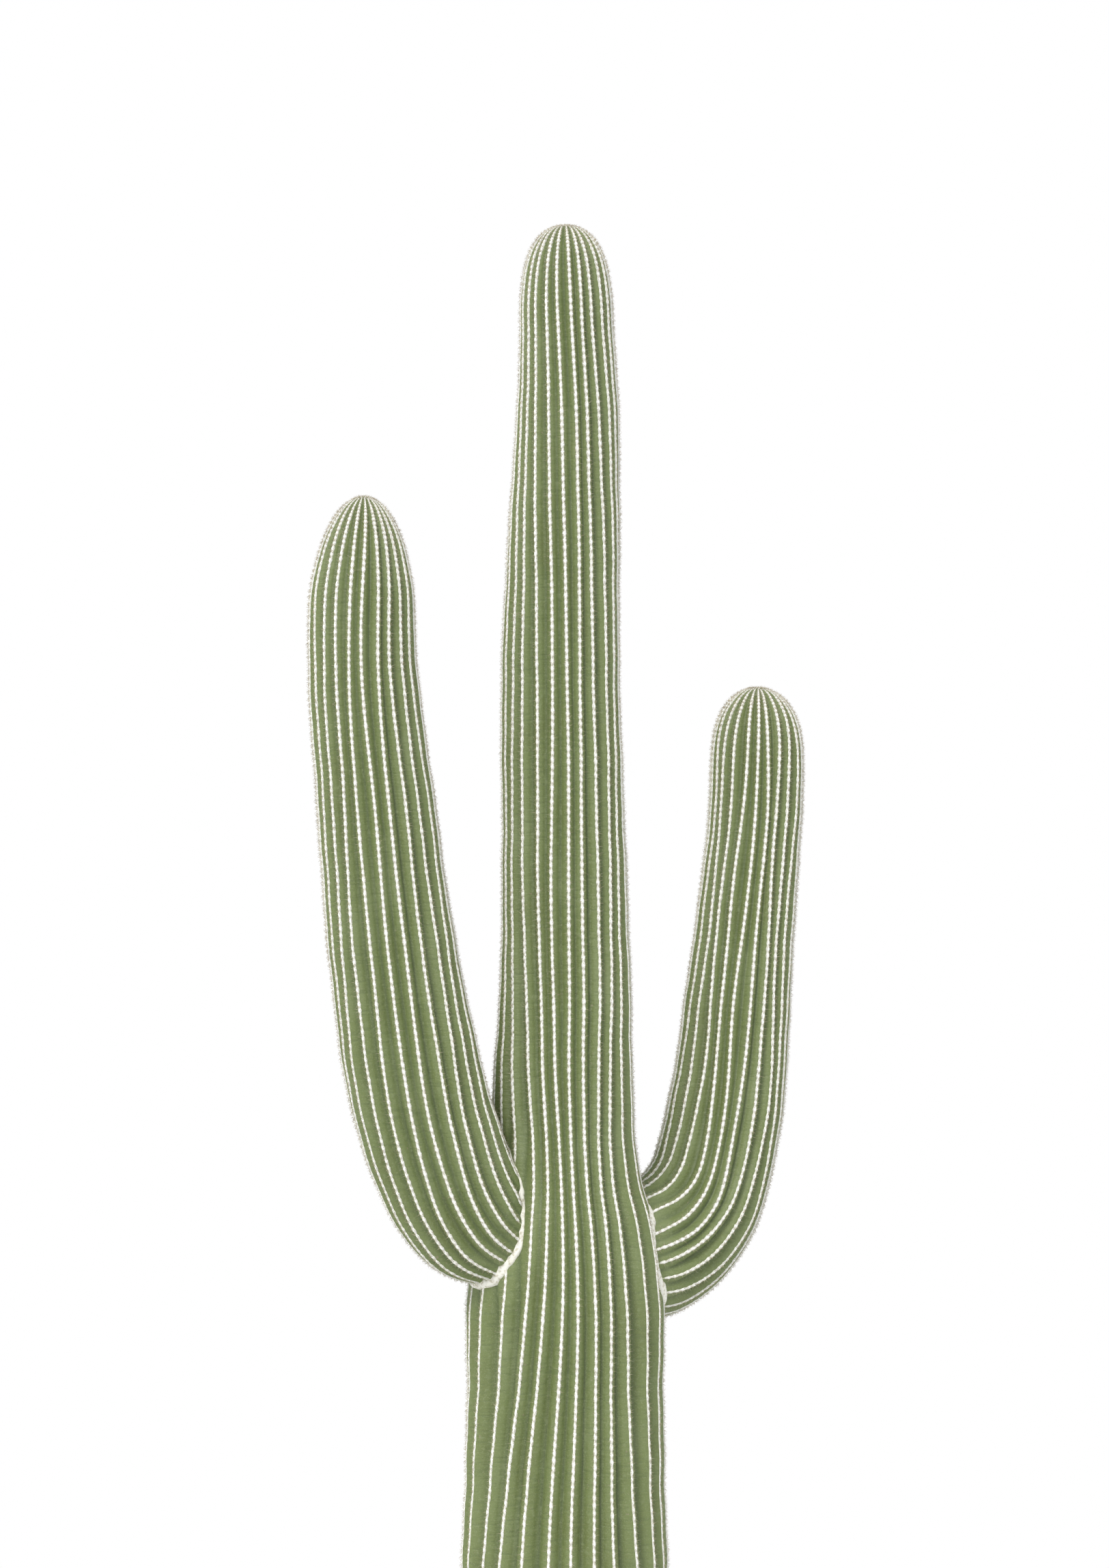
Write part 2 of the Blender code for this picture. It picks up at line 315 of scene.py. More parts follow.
@dataclass(frozen=True)
class WaxySkin:
    """Skin of a stem: olive flanks, crests lighter with a painted highlight and a yellower tone, grooves
    darker with painted shade and a bluer tone, and cork where it is oldest.

    Attributes:
        name: Name of the material.
        flank: Colour between crest and groove.
        crest: Colour beside the line of felt, lighter than the flanks: a painted highlight on the crests,
            with a yellower tone.
        seam: Colour of the thin line right under the felt.
        groove: Colour of the grooves and of fine creases, darker than the flanks: painted shade there, with
            a bluer tone.
        bloom: Colour of patches with more wax.
        bruise: Colour of patches with less of it.
        pore: Colour of the breathing pores.
        cork: Colour of the old bark and of small flecks higher up.
        fissure: Colour of the cracks in the bark.
        cork_top: Height up to which the skin has turned to bark, in metres.
        relief: Height of the fine relief, in metres.
    """

    name: str
    flank: Colour = (0.164, 0.206, 0.073, 1.0)
    crest: Colour = (0.215, 0.257, 0.102, 1.0)
    seam: Colour = (0.620, 0.620, 0.440, 1.0)
    groove: Colour = (0.114, 0.150, 0.056, 1.0)
    bloom: Colour = (0.204, 0.246, 0.114, 1.0)
    bruise: Colour = (0.138, 0.168, 0.055, 1.0)
    pore: Colour = (0.262, 0.300, 0.150, 1.0)
    cork: Colour = (0.290, 0.245, 0.170, 1.0)
    fissure: Colour = (0.110, 0.088, 0.055, 1.0)
    cork_top: float = 0.75
    relief: float = 0.0018

    def material(self) -> bpy.types.Material:
        """Lays the colours over each other, from the grooves up to the bark.

        Returns:
            The skin's material, which reads the crest attribute of the mesh.
        """
        graph = Graph(self.name)
        crest = graph.attribute("crest")
        clouds = graph.noise(grain=0.11, detail=4.0, stretch=2.2)
        grain = graph.noise(grain=0.016, detail=5.0)
        pores = graph.noise(grain=0.0034, detail=2.0)
        creases = graph.noise(grain=0.050, detail=4.0, stretch=0.14)
        flecks = graph.noise(grain=0.012, detail=3.0, stretch=0.8)
        # Painted shade: the grooves are darkened with the groove colour, and the flanks keep the plain
        # olive.
        colour = graph.mix(crest.rise(0.0, 0.42), self.groove, self.flank)
        # Painted highlight: the crests are lightened towards the line of felt.
        colour = graph.mix(crest.rise(0.72, 1.0) * 0.75, colour, self.crest)
        colour = graph.mix(clouds.rise(0.50, 0.72) * 0.50, colour, self.bloom)
        colour = graph.mix(clouds.rise(0.50, 0.30) * 0.60, colour, self.bruise)
        colour = graph.mix(grain.rise(0.52, 0.70) * 0.60, colour, self.bloom)
        # Painted shade in the fine creases, where their relief is low, with the darker groove colour.
        colour = graph.mix(creases.rise(0.47, 0.34) * 0.45, colour, self.groove)
        colour = graph.mix(pores.rise(0.55, 0.68) * 0.50, colour, self.pore)
        colour = graph.mix(flecks.rise(0.69, 0.74) * 0.55, colour, self.cork)
        colour = graph.mix(crest.rise(0.89, 0.97) * (0.45 + grain * 0.7), colour, self.seam)
        ragged = graph.height() + clouds * 0.9 + grain * 0.25
        aged = ragged.rise(self.cork_top + 0.45, self.cork_top - 0.15)
        wrinkles = graph.noise(grain=0.030, detail=5.0, stretch=0.22)
        plates = graph.noise(grain=0.022, detail=4.0, stretch=2.6)
        cracks = wrinkles.rise(0.52, 0.38) * 0.7 + plates.rise(0.50, 0.36) * 0.6
        colour = graph.mix(aged * 0.85, colour, self.cork)
        colour = graph.mix(aged * cracks, colour, self.fissure)
        graph.feed(graph.shader.inputs["Base Color"], colour)
        graph.feed(graph.shader.inputs["Roughness"], 0.46 + grain * 0.16 + aged * 0.3)
        height = grain * 0.6 + pores * 0.30 + creases * 1.1 - cracks * aged * 2.0
        graph.feed(graph.shader.inputs["Normal"], graph.bump(height, self.relief))
        return graph.material


@dataclass(frozen=True)
class PaleHorn:
    """Spines: pale horn, a little darker in places.

    Attributes:
        name: Name of the material.
        horn: Its main colour.
        stain: Its darker colour.
        gloss: Roughness where it is smoothest.
    """

    name: str
    horn: Colour
    stain: Colour
    gloss: float = 0.42

    def material(self) -> bpy.types.Material:
        """Stains the horn in clouds.

        Returns:
            The spines' material.
        """
        graph = Graph(self.name)
        clouds = graph.noise(grain=0.035, detail=3.0)
        colour = graph.mix(clouds.rise(0.42, 0.72), self.horn, self.stain)
        graph.feed(graph.shader.inputs["Base Color"], colour)
        graph.feed(graph.shader.inputs["Roughness"], self.gloss + clouds * 0.2)
        return graph.material


@dataclass(frozen=True)
class CreamFelt:
    """The short dense felt of the areoles.

    Attributes:
        name: Name of the material.
        light: Its main colour.
        dark: Its colour in patches, and between the fibres as painted shade.
        relief: Height of the fibres, in metres.
    """

    name: str
    light: Colour = (0.97, 0.965, 0.93, 1.0)
    dark: Colour = (0.89, 0.87, 0.80, 1.0)
    relief: float = 0.0010

    def material(self) -> bpy.types.Material:
        """Darkens the felt in patches, and paints shade between the fibres.

        Returns:
            The felt's material.
        """
        graph = Graph(self.name)
        clouds = graph.noise(grain=0.05, detail=3.0)
        fibres = graph.noise(grain=0.0012, detail=3.0)
        # Real darker patches, plus painted shade between the fibres where the fibre relief is low.
        patches_and_fibre_shade = clouds.rise(0.40, 0.75) * 0.6 + fibres.rise(0.5, 0.3) * 0.4
        colour = graph.mix(patches_and_fibre_shade, self.light, self.dark)
        graph.feed(graph.shader.inputs["Base Color"], colour)
        graph.feed(graph.shader.inputs["Roughness"], 0.85 + fibres * 0.15)
        graph.feed(graph.shader.inputs["Sheen Weight"], 0.35)
        graph.feed(graph.shader.inputs["Normal"], graph.bump(fibres, self.relief))
        return graph.material


@dataclass(frozen=True)
class PaleCork:
    """The corky callus round an arm's root.

    Attributes:
        name: Name of the material.
        ridge: Its main colour.
        crack: Its colour in patches, and in the cracks as painted shade.
        relief: Depth of the cracks, in metres.
    """

    name: str
    ridge: Colour = (0.92, 0.90, 0.83, 1.0)
    crack: Colour = (0.52, 0.48, 0.36, 1.0)
    relief: float = 0.0026

    def material(self) -> bpy.types.Material:
        """Darkens the callus in patches, and paints shade into its cracks.

        Returns:
            The callus's material.
        """
        graph = Graph(self.name)
        cracks = graph.noise(grain=0.011, detail=5.0)
        clouds = graph.noise(grain=0.06, detail=3.0)
        # Painted shade: the cracks, low in the relief, are darkened with the crack colour.
        colour = graph.mix(cracks.rise(0.52, 0.34) * 0.8, self.ridge, self.crack)
        colour = graph.mix(clouds.rise(0.5, 0.75) * 0.35, colour, self.crack)
        graph.feed(graph.shader.inputs["Base Color"], colour)
        graph.feed(graph.shader.inputs["Roughness"], 0.78 + cracks * 0.2)
        graph.feed(graph.shader.inputs["Normal"], graph.bump(cracks, self.relief))
        return graph.material


class Weld(Enum):
    """Which sides of a grid are sewn together to close it."""

    ROUND = "round"
    RING = "ring"


def swept_grid(name: str, points: np.ndarray, crest: np.ndarray, weld: Weld) -> bpy.types.Object:
    """A closed piece made from a grid that is bent to its points.

    Args:
        name: The piece's name.
        points: Its places, as rows along the piece of columns round it. The first follows the last.
        crest: How high each point lies, from 0 to 1, which the piece carries as its crest attribute.
        weld: ROUND closes both ends of a stem, and RING joins the last row to the first.

    Returns:
        The piece, at the origin, with its faces outwards.
    """
    rows, columns = points.shape[:2]
    ring = weld is Weld.RING
    sheet = np.concatenate([points, crest[..., None]], axis=2)
    sheet = np.concatenate([sheet, sheet[:, :1]], axis=1)
    if ring:
        sheet = np.concatenate([sheet, sheet[:1]], axis=0)
    bm = bmesh.new()
    bmesh.ops.create_grid(bm, x_segments=columns, y_segments=rows if ring else rows - 1, size=0.5)
    layer = bm.verts.layers.float.new("crest")
    for vertex, (x, y, z, height) in zip(bm.verts, sheet.reshape(-1, 4)):
        vertex.co = (x, y, z)
        vertex[layer] = height
    bmesh.ops.remove_doubles(bm, verts=bm.verts, dist=WELD_DISTANCE)
    bmesh.ops.holes_fill(bm, edges=[edge for edge in bm.edges if edge.is_boundary], sides=0)
    bmesh.ops.recalc_face_normals(bm, faces=bm.faces)
    for face in bm.faces:
        face.smooth = len(face.verts) <= 4
    mesh = bpy.data.meshes.new(name)
    bm.to_mesh(mesh)
    bm.free()
    return placed(name, mesh)


def placed(name: str, mesh: bpy.types.Mesh) -> bpy.types.Object:
    """Adds an object to the scene, at the origin.

    Args:
        name: The object's name.
        mesh: The mesh that it shows.

    Returns:
        The object.
    """
    piece = bpy.data.objects.new(name, mesh)
    bpy.context.scene.collection.objects.link(piece)
    return piece


def dress(piece: bpy.types.Object, material: bpy.types.Material) -> None:
    """Gives a piece its material and its body, and reports it.

    Args:
        piece: The piece.
        material: Its material.
    """
    piece.data.materials.append(material)
    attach(piece, BODY)
    LOG.info("%s: %d triangles", piece.name, sum(len(p.vertices) - 2 for p in piece.data.polygons))


@dataclass(frozen=True)
class RibCourse:
    """How the ribs of a stem run round it. Angles are in degrees.

    Attributes:
        ribs: How many there are.
        first_rib: Bearing of the first one.
        twist: How far all of them turn for each metre along the stem.
        sway: Reach of the slow wave that all of them share.
        sway_length: Its length, in metres.
        sway_start: Where it starts, as an angle.
        wander: Reach of each one's own wave.
        wander_length: Its length, in metres.
        phase_step: How far the own waves of two neighbours are apart.
        short_wave_share: Reach of a shorter own wave, as a share of the longer one's.
        short_waves_in_long: How many times shorter it is.
        short_wave_phases: How many times further apart the short waves of neighbours are.
    """

    ribs: int
    first_rib: float
    twist: float
    sway: float
    sway_length: float
    sway_start: float
    wander: float
    wander_length: float
    phase_step: float
    short_wave_share: float = 0.45
    short_waves_in_long: float = 2.1
    short_wave_phases: int = 3

    def bearing(self, rib: np.ndarray, along: np.ndarray) -> np.ndarray:
        """Bearing of a rib's crest.

        Args:
            rib: Number of the rib, from 0.
            along: Distance along the stem.

        Returns:
            The bearing in radians.
        """
        even = self.first_rib + 360.0 * rib / self.ribs
        phase = np.radians(rib % self.ribs * self.phase_step)
        turn = math.tau * along / self.wander_length
        short_wave = np.sin(self.short_waves_in_long * turn + self.short_wave_phases * phase)
        wander = self.wander * (np.sin(turn + phase) + self.short_wave_share * short_wave)
        sway = self.sway * np.sin(math.tau * along / self.sway_length + math.radians(self.sway_start))
        return np.radians(even + wander + sway + self.twist * along)


@dataclass
class Stem:
    """A ribbed stem round a centreline that lies in one upright plane.

    Attributes:
        name: Name of the stem, which starts the names of its pieces.
        nodes: The solids that its skin stands for.
        slot: The record's material slot of its skin. It is not used.
        stations: Reach, height and radius over the crests, along the centreline.
        bearing: Bearing of the plane that the centreline lies in, in degrees.
        course: How its ribs run.
        dome_height: Height of the rounded tip.
        dome_roundness: Exponent of the tip's outline.
        areole_steps: Distance between two areoles of a rib, at the stem's foot and below its tip.
        rings_per_areole: Rings of the skin for each areole.
        seed: Seed of its random numbers.
        start: Where the skin starts along the centreline.
        scars: Points on the seams where arms meet the trunk.
        column_shares: Where the columns of the skin's grid stand between two crests, from 0 to 1.
        depth_to_pitch: Depth of a groove as a share of the distance between its ribs.
        season_waves: Waves in the girth: radians for each metre, and reach as a share of the radius.
        knob_height: How far the crest swells under an areole.
        knob_reach: Half the width of that swelling, as a share of the distance between ribs.
        knob_sink: How far the crest sinks between two swellings, as a share of their height.
        knob_band: How near the crest it does so, where 0 is the crest and 1 the groove.
        knob_radius: Radius of the stem below which the knobs shrink with it.
        tip_crowding: Distance between areoles at the tip, as a share of that lower down.
        tip_reach: How far from the tip they start to crowd.
        scar_depth_share: Depth of the grooves at a scar, as a share of the full one.
        scar_ledge: Distance from a scar up to which they are no deeper than that.
        scar_reach: Distance from a scar beyond which they have their full depth.
        clearance: How far outside this stem another one's areoles are kept.
        centreline_steps: Points of the centreline for each stretch between two stations.
        body_samples: How many places the tables are read at below the dome.
        dome_samples: How many they are read at over the dome.
    """

    name: str
    nodes: tuple[str, ...]
    slot: str
    stations: tuple[Station, ...]
    bearing: float
    course: RibCourse
    dome_height: float
    dome_roundness: float
    areole_steps: tuple[float, float]
    rings_per_areole: int
    seed: int
    start: float = 0.0
    scars: np.ndarray = field(default_factory=lambda: np.empty((0, 3)))
    column_shares: tuple[float, ...] = (0.0, 0.07, 0.19, 0.35, 0.5, 0.65, 0.81, 0.93)
    depth_to_pitch: float = 0.50
    season_waves: tuple[tuple[float, float], ...] = ((19.0, 0.005), (43.0, 0.003))
    knob_height: float = 0.0015
    knob_reach: float = 0.13
    knob_sink: float = 0.5
    knob_band: float = 0.3
    knob_radius: float = 0.10
    tip_crowding: float = 0.55
    tip_reach: float = 0.32
    scar_depth_share: float = 0.30
    scar_ledge: float = 0.01
    scar_reach: float = 0.14
    clearance: float = 0.004
    centreline_steps: int = 24
    body_samples: int = 1200
    dome_samples: int = 500

    def __post_init__(self) -> None:
        """Works out the centreline's fine points, their lengths and their slopes."""
        self.ribs = self.course.ribs
        self.line = curve_through(self.stations, self.centreline_steps)
        steps = np.linalg.norm(np.diff(self.line[:, :2], axis=0), axis=1)
        self.lengths = np.concatenate([[0.0], np.cumsum(steps)])
        self.length = float(self.lengths[-1])
        self.slopes = unit(np.gradient(self.line[:, :2], self.lengths, axis=0))
        turn = math.radians(self.bearing)
        self.outward = np.array([math.sin(turn), -math.cos(turn), 0.0])
        self.sideways = np.array([math.cos(turn), math.sin(turn), 0.0])

    def read(self, column: np.ndarray, along: np.ndarray) -> np.ndarray:
        """A column of values of the centreline at distances along it."""
        return np.interp(along, self.lengths, column)

    def centre(self, along: np.ndarray) -> np.ndarray:
        """Points of the centreline."""
        reach = self.read(self.line[:, 0], along)[..., None]
        return reach * self.outward + self.read(self.line[:, 1], along)[..., None] * UP

    def tangent(self, along: np.ndarray) -> np.ndarray:
        """Directions of the centreline."""
        out = self.read(self.slopes[:, 0], along)[..., None]
        return unit(out * self.outward + self.read(self.slopes[:, 1], along)[..., None] * UP)

    def crest_radius(self, along: np.ndarray) -> np.ndarray:
        """Radius over the crests.

        Args:
            along: Distance along the stem.

        Returns:
            The radius, which closes to nothing over the dome at the tip.
        """
        into_dome = np.clip(1 - (self.length - along) / self.dome_height, 0.0, 1.0)
        left = 1 - into_dome**self.dome_roundness
        seasons = np.ones_like(along)
        for number, (rate, swell) in enumerate(self.season_waves, start=1):
            seasons = seasons + swell * np.sin(along * rate + number * self.seed)
        return self.read(self.line[:, 2], along) * left ** (1 / self.dome_roundness) * seasons

    def rib_bearing(self, rib: np.ndarray, along: np.ndarray) -> np.ndarray:
        """Bearing of a rib's crest."""
        return self.course.bearing(rib, along)

    def depth_share(self, along: np.ndarray) -> np.ndarray:
        """Share of the full rib depth."""
        return np.ones_like(along)

    def direction(self, along: np.ndarray, turn: np.ndarray) -> np.ndarray:
        """Direction straight out of the stem, square to the centreline.

        Args:
            along: Distance along the stem.
            turn: Bearing in radians.

        Returns:
            The direction, at length 1.
        """
        outer = np.cross(self.sideways, self.tangent(along))
        local = (turn - math.radians(self.bearing))[..., None]
        return outer * np.cos(local) + self.sideways * np.sin(local)

    def crest_point(self, rib: np.ndarray, along: np.ndarray) -> np.ndarray:
        """The point on a rib's crest."""
        out = self.direction(along, self.rib_bearing(rib, along))
        return self.centre(along) + out * self.crest_radius(along)[..., None]

    @cached_property
    def samples(self) -> np.ndarray:
        """Spreads the places that the tables of this stem are read at.

        Returns:
            Distances along the centreline, which crowd towards the tip.
        """
        dome_start = self.length - self.dome_height
        body = np.linspace(self.start, dome_start, self.body_samples, endpoint=False)
        quarter = np.linspace(0, math.pi / 2, self.dome_samples)
        return np.concatenate([body, dome_start + self.dome_height * np.sin(quarter)])

    def beats_of(self, travel: np.ndarray) -> np.ndarray:
        """Counts areoles along a line over the skin.

        Args:
            travel: Distance walked along that line at each sample.

        Returns:
            The number of areoles passed at each sample. They crowd towards the tip.
        """
        low, high = self.areole_steps
        plain = low + (high - low) * travel / travel[-1]
        near_tip = 1 - smooth_step(travel[-1] - travel, 0, self.tip_reach)
        step = plain * (1 - (1 - self.tip_crowding) * near_tip)
        middle = (1 / step[1:] + 1 / step[:-1]) / 2
        return np.concatenate([[0.0], np.cumsum(middle * np.diff(travel))])

    @cached_property
    def profile_beats(self) -> np.ndarray:
        """Areoles passed at each sample along the plain outline of the stem."""
        out = np.hypot(np.diff(self.samples), np.diff(self.crest_radius(self.samples)))
        return self.beats_of(np.concatenate([[0.0], np.cumsum(out)]))

    def rib_beats(self, rib: int) -> np.ndarray:
        """Counts the areoles along a rib's crest.

        Args:
            rib: Number of the rib.

        Returns:
            The number passed at each sample.
        """
        crest = self.crest_point(np.full_like(self.samples, rib), self.samples)
        steps = np.linalg.norm(np.diff(crest, axis=0), axis=1)
        return self.beats_of(np.concatenate([[0.0], np.cumsum(steps)]))

    def areole_lead(self, rib: np.ndarray) -> np.ndarray:
        """Share of a step by which a rib's first areole is put off, so that neighbours alternate."""
        return 0.5 * (rib % 2)

    def knobs(self, rib: np.ndarray, along: np.ndarray) -> np.ndarray:
        """How far the crest swells under the areoles.

        Args:
            rib: Number of the rib, for each column.
            along: Distance along the stem, for each ring.

        Returns:
            The swelling of each ring's columns, from 0 between two areoles to 1 at one.
        """
        table = [np.interp(along, self.samples, self.rib_beats(k)) for k in range(self.ribs)]
        beats = np.stack(table, axis=1)[:, rib % self.ribs]
        return np.cos(math.pi * (beats - self.areole_lead(rib % self.ribs))) ** 2

    def near_scar(self, points: np.ndarray) -> np.ndarray:
        """How far points lie from the seams of the arms.

        Args:
            points: The points.

        Returns:
            0 at a seam and 1 well away from all of them.
        """
        share = np.ones(points.shape[:-1])
        if len(self.scars):
            low = self.scars[:, 2].min() - self.scar_reach
            high = self.scars[:, 2].max() + self.scar_reach
            close = (points[..., 2] > low) & (points[..., 2] < high)
            away = nearest(points[close], self.scars)
            share[close] = smooth_step(away, self.scar_ledge, self.scar_reach)
        return share

    def skin_grid(self) -> tuple[np.ndarray, np.ndarray]:
        """The skin's points and how near each is to a crest, as rings of columns.

        Returns:
            The points, and a number for each that is 0 in a groove and 1 on a crest.
        """
        rings = int(self.profile_beats[-1] * self.rings_per_areole)
        beats = np.arange(rings + 1) / self.rings_per_areole
        along = np.interp(beats, self.profile_beats, self.samples)
        along[-1] = self.length
        shares = np.tile(self.column_shares, self.ribs)[None, :]
        rib = np.repeat(np.arange(self.ribs), len(self.column_shares))
        here = self.rib_bearing(rib[None, :], along[:, None])
        beyond = self.rib_bearing(rib[None, :] + 1, along[:, None])
        turn = here + (beyond - here) * shares
        crest = self.crest_radius(along)[:, None]
        from_crest = 2 * np.minimum(shares, 1 - shares)
        out = self.direction(np.broadcast_to(along[:, None], turn.shape), turn)
        centre = self.centre(along)[:, None, :]
        shallow = self.near_scar(centre + out * crest[..., None])
        share = self.scar_depth_share + (1 - self.scar_depth_share) * shallow
        depth = self.depth_to_pitch * crest * (beyond - here) * self.depth_share(along)[:, None] * share
        knobs = self.knobs(rib, along) * np.exp(-((shares / self.knob_reach) ** 2))
        knobs += self.knobs(rib + 1, along) * np.exp(-(((1 - shares) / self.knob_reach) ** 2))
        knobs = knobs - self.knob_sink * (from_crest < self.knob_band)
        knob_height = self.knob_height * np.minimum(1.0, crest / self.knob_radius) * share
        radius = crest - depth * from_crest**2 + knob_height * knobs
        radius = np.maximum(radius + self.gnarls(turn, along[:, None]), 0.0)
        return centre + out * radius[..., None], np.broadcast_to(1 - from_crest, radius.shape)

    def gnarls(self, turn: np.ndarray, along: np.ndarray) -> np.ndarray:
        """How far old bark stands out of the plain shape: nowhere, on a stem without any."""
        return np.zeros_like(turn)

    def build_skin(self, finish: WaxySkin) -> None:
        """Makes the skin, which stands for the stem's solids.

        Args:
            finish: The skin's finish.
        """
        points, crest = self.skin_grid()
        piece = swept_grid(f"{self.name}_skin", points, crest, Weld.ROUND)
        dress(piece, finish.material())
        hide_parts(*self.nodes)


TRUNK_COURSE = RibCourse(
    ribs=24,
    first_rib=5.6,
    twist=0.0,
    sway=3.3,
    sway_length=1.91,
    sway_start=55.0,
    wander=1.4,
    wander_length=2.96,
    phase_step=248.7,
)
LEFT_ARM_COURSE = RibCourse(
    ribs=23,
    first_rib=-5.3,
    twist=12.8,
    sway=4.7,
    sway_length=2.83,
    sway_start=309.4,
    wander=1.6,
    wander_length=1.96,
    phase_step=308.6,
)
RIGHT_ARM_COURSE = RibCourse(
    ribs=24,
    first_rib=-0.9,
    twist=1.1,
    sway=5.0,
    sway_length=3.25,
    sway_start=115.2,
    wander=1.95,
    wander_length=1.33,
    phase_step=74.7,
)


@dataclass
class Trunk(Stem):
    """The trunk: its ribs fade at the foot, crowd at the fork and twist near the crown.

    Attributes:
        foot_fade: Height up to which the ribs are shallower.
        foot_depth_share: Their depth at the ground, as a share of the full one.
        fork_height: Height at which they crowd together.
        fork_reach: How far above and below it they do so.
        fork_squeeze: How far they move round towards the front.
        fork_pinch: How far they move towards the front and the back.
        fork_centre: Bearing that they crowd towards.
        crown_twist: How far they turn near the crown.
        crown_low: Height at which that turn starts.
        crown_high: Height at which it ends.
        gnarl_waves: How many waves make the swellings of the old bark.
        gnarl_rounds: Fewest waves round the trunk, and one more than the most.
        gnarl_climb: Steepest of them, in radians for each metre of height.
        gnarl_height: Height of the swellings.
        bark_top: Height up to which there are any.
    """

    foot_fade: float = 0.55
    foot_depth_share: float = 0.35
    fork_height: float = 2.0
    fork_reach: float = 0.765
    fork_squeeze: float = math.radians(7.9)
    fork_pinch: float = math.radians(8.0)
    fork_centre: float = math.radians(6.9)
    crown_twist: float = math.radians(-13.9)
    crown_low: float = 3.4
    crown_high: float = 4.6
    gnarl_waves: int = 28
    gnarl_rounds: tuple[int, int] = (6, 60)
    gnarl_climb: float = 90.0
    gnarl_height: float = 0.0035
    bark_top: float = 0.9

    def rib_bearing(self, rib: np.ndarray, along: np.ndarray) -> np.ndarray:
        """Bearing of a rib's crest.

        Args:
            rib: Number of the rib, from 0.
            along: Distance along the trunk.

        Returns:
            The bearing in radians.
        """
        plain = super().rib_bearing(rib, along)
        height = self.read(self.line[:, 1], along)
        off_centre = plain - self.fork_centre
        crowding = self.fork_squeeze * np.sin(off_centre) + self.fork_pinch * np.sin(2 * off_centre)
        near_fork = np.exp(-(((height - self.fork_height) / self.fork_reach) ** 2))
        near_crown = smooth_step(height, self.crown_low, self.crown_high)
        return plain - crowding * near_fork + self.crown_twist * near_crown

    def depth_share(self, along: np.ndarray) -> np.ndarray:
        """Share of the full rib depth, less near the ground."""
        height = self.read(self.line[:, 1], along)
        grown = smooth_step(height, 0, self.foot_fade)
        return self.foot_depth_share + (1 - self.foot_depth_share) * grown

    def gnarls(self, turn: np.ndarray, along: np.ndarray) -> np.ndarray:
        """How far the old bark of the foot stands out of the plain shape.

        Args:
            turn: Bearing in radians.
            along: Distance along the trunk.

        Returns:
            The height of the bark there.
        """
        random = np.random.default_rng(self.seed)
        waves = np.zeros_like(turn)
        for _ in range(self.gnarl_waves):
            round_stem = random.integers(*self.gnarl_rounds)
            up_stem = random.uniform(-self.gnarl_climb, self.gnarl_climb)
            waves += np.sin(round_stem * turn + up_stem * along + random.uniform(0, math.tau))
        height = self.read(self.line[:, 1], along)
        old = 1 - smooth_step(height, 0.0, self.bark_top)
        return self.gnarl_height * old * waves / math.sqrt(self.gnarl_waves)

    def rib_beats(self, rib: int) -> np.ndarray:
        """Areoles passed along a rib: the same on all, so that each knob has a ring of the skin."""
        return self.profile_beats

    def outside(self, points: np.ndarray) -> np.ndarray:
        """How far points lie outside the trunk, with its ribs as shallow as they are at a scar.

        Args:
            points: The points.

        Returns:
            The distance of each, which is below 0 inside.
        """
        along = np.interp(points[..., 2], self.line[:, 1], self.lengths)
        away = points - self.centre(along)
        bearing = np.arctan2(away[..., 0], -away[..., 1])
        ribs = np.arange(self.ribs + 1).reshape((-1,) + (1,) * along.ndim)
        crests = self.rib_bearing(ribs, along[None])
        bearing = crests[0] + (bearing - crests[0]) % math.tau
        rib = np.clip((crests <= bearing).sum(axis=0) - 1, 0, self.ribs - 1)
        here = np.take_along_axis(crests, rib[None], axis=0)[0]
        beyond = np.take_along_axis(crests, rib[None] + 1, axis=0)[0]
        share = (bearing - here) / (beyond - here)
        from_crest = 2 * np.minimum(share, 1 - share)
        depth = self.depth_to_pitch * self.crest_radius(along) * (beyond - here) * self.scar_depth_share
        return np.hypot(away[..., 0], away[..., 1]) - self.crest_radius(along) + depth * from_crest**2

    def holds(self, points: np.ndarray) -> np.ndarray:
        """Says which points lie inside the trunk or within a few millimetres of its skin."""
        return self.outside(points) < self.clearance


@dataclass
class Arm(Stem):
    """An arm, whose root is buried in the trunk.

    Attributes:
        search_reach: How far along the arm its seam with the trunk is looked for.
        search_steps: How many places are tried on the way.
        root_overlap: How far the skin reaches into the trunk.
        hold_stride: Every how many samples the arm's middle is measured to.
    """

    search_reach: float = 0.85
    search_steps: int = 700
    root_overlap: float = 0.03
    hold_stride: int = 10

    def meet(self, trunk: Trunk, places: int) -> tuple[np.ndarray, np.ndarray]:
        """Finds the seam where the arm leaves the trunk, and starts the arm's skin just inside it.

        Args:
            trunk: The trunk.
            places: How many points the seam gets.

        Returns:
            The points of the seam, in order round the arm, and the direction out of the arm at each.
        """
        turn = np.linspace(0, math.tau, places, endpoint=False)[:, None]
        along = np.linspace(0.0, self.search_reach, self.search_steps)[None, :]
        turn, along = np.broadcast_arrays(turn, along)
        # A groove is a parabola, so its mean depth is a third of its full one.
        depth = self.depth_to_pitch * math.tau / self.ribs * self.scar_depth_share
        radius = self.crest_radius(along) * (1 - depth / 3)
        out = self.direction(along, turn)
        points = self.centre(along) + out * radius[..., None]
        inside = trunk.outside(points) < 0
        last = inside.shape[1] - 1 - np.argmax(inside[:, ::-1], axis=1)
        pick = np.arange(places)
        self.start = float(along[pick, last].min()) - self.root_overlap
        return points[pick, last], out[pick, last]

    def holds(self, points: np.ndarray) -> np.ndarray:
        """Says which points lie inside the arm or within a few millimetres of its skin.

        Args:
            points: The points.

        Returns:
            True for each that does.
        """
        places = self.samples[:: self.hold_stride]
        from_middle = np.linalg.norm(points[:, None] - self.centre(places)[None], axis=2)
        return (from_middle - self.crest_radius(places)).min(axis=1) < self.clearance


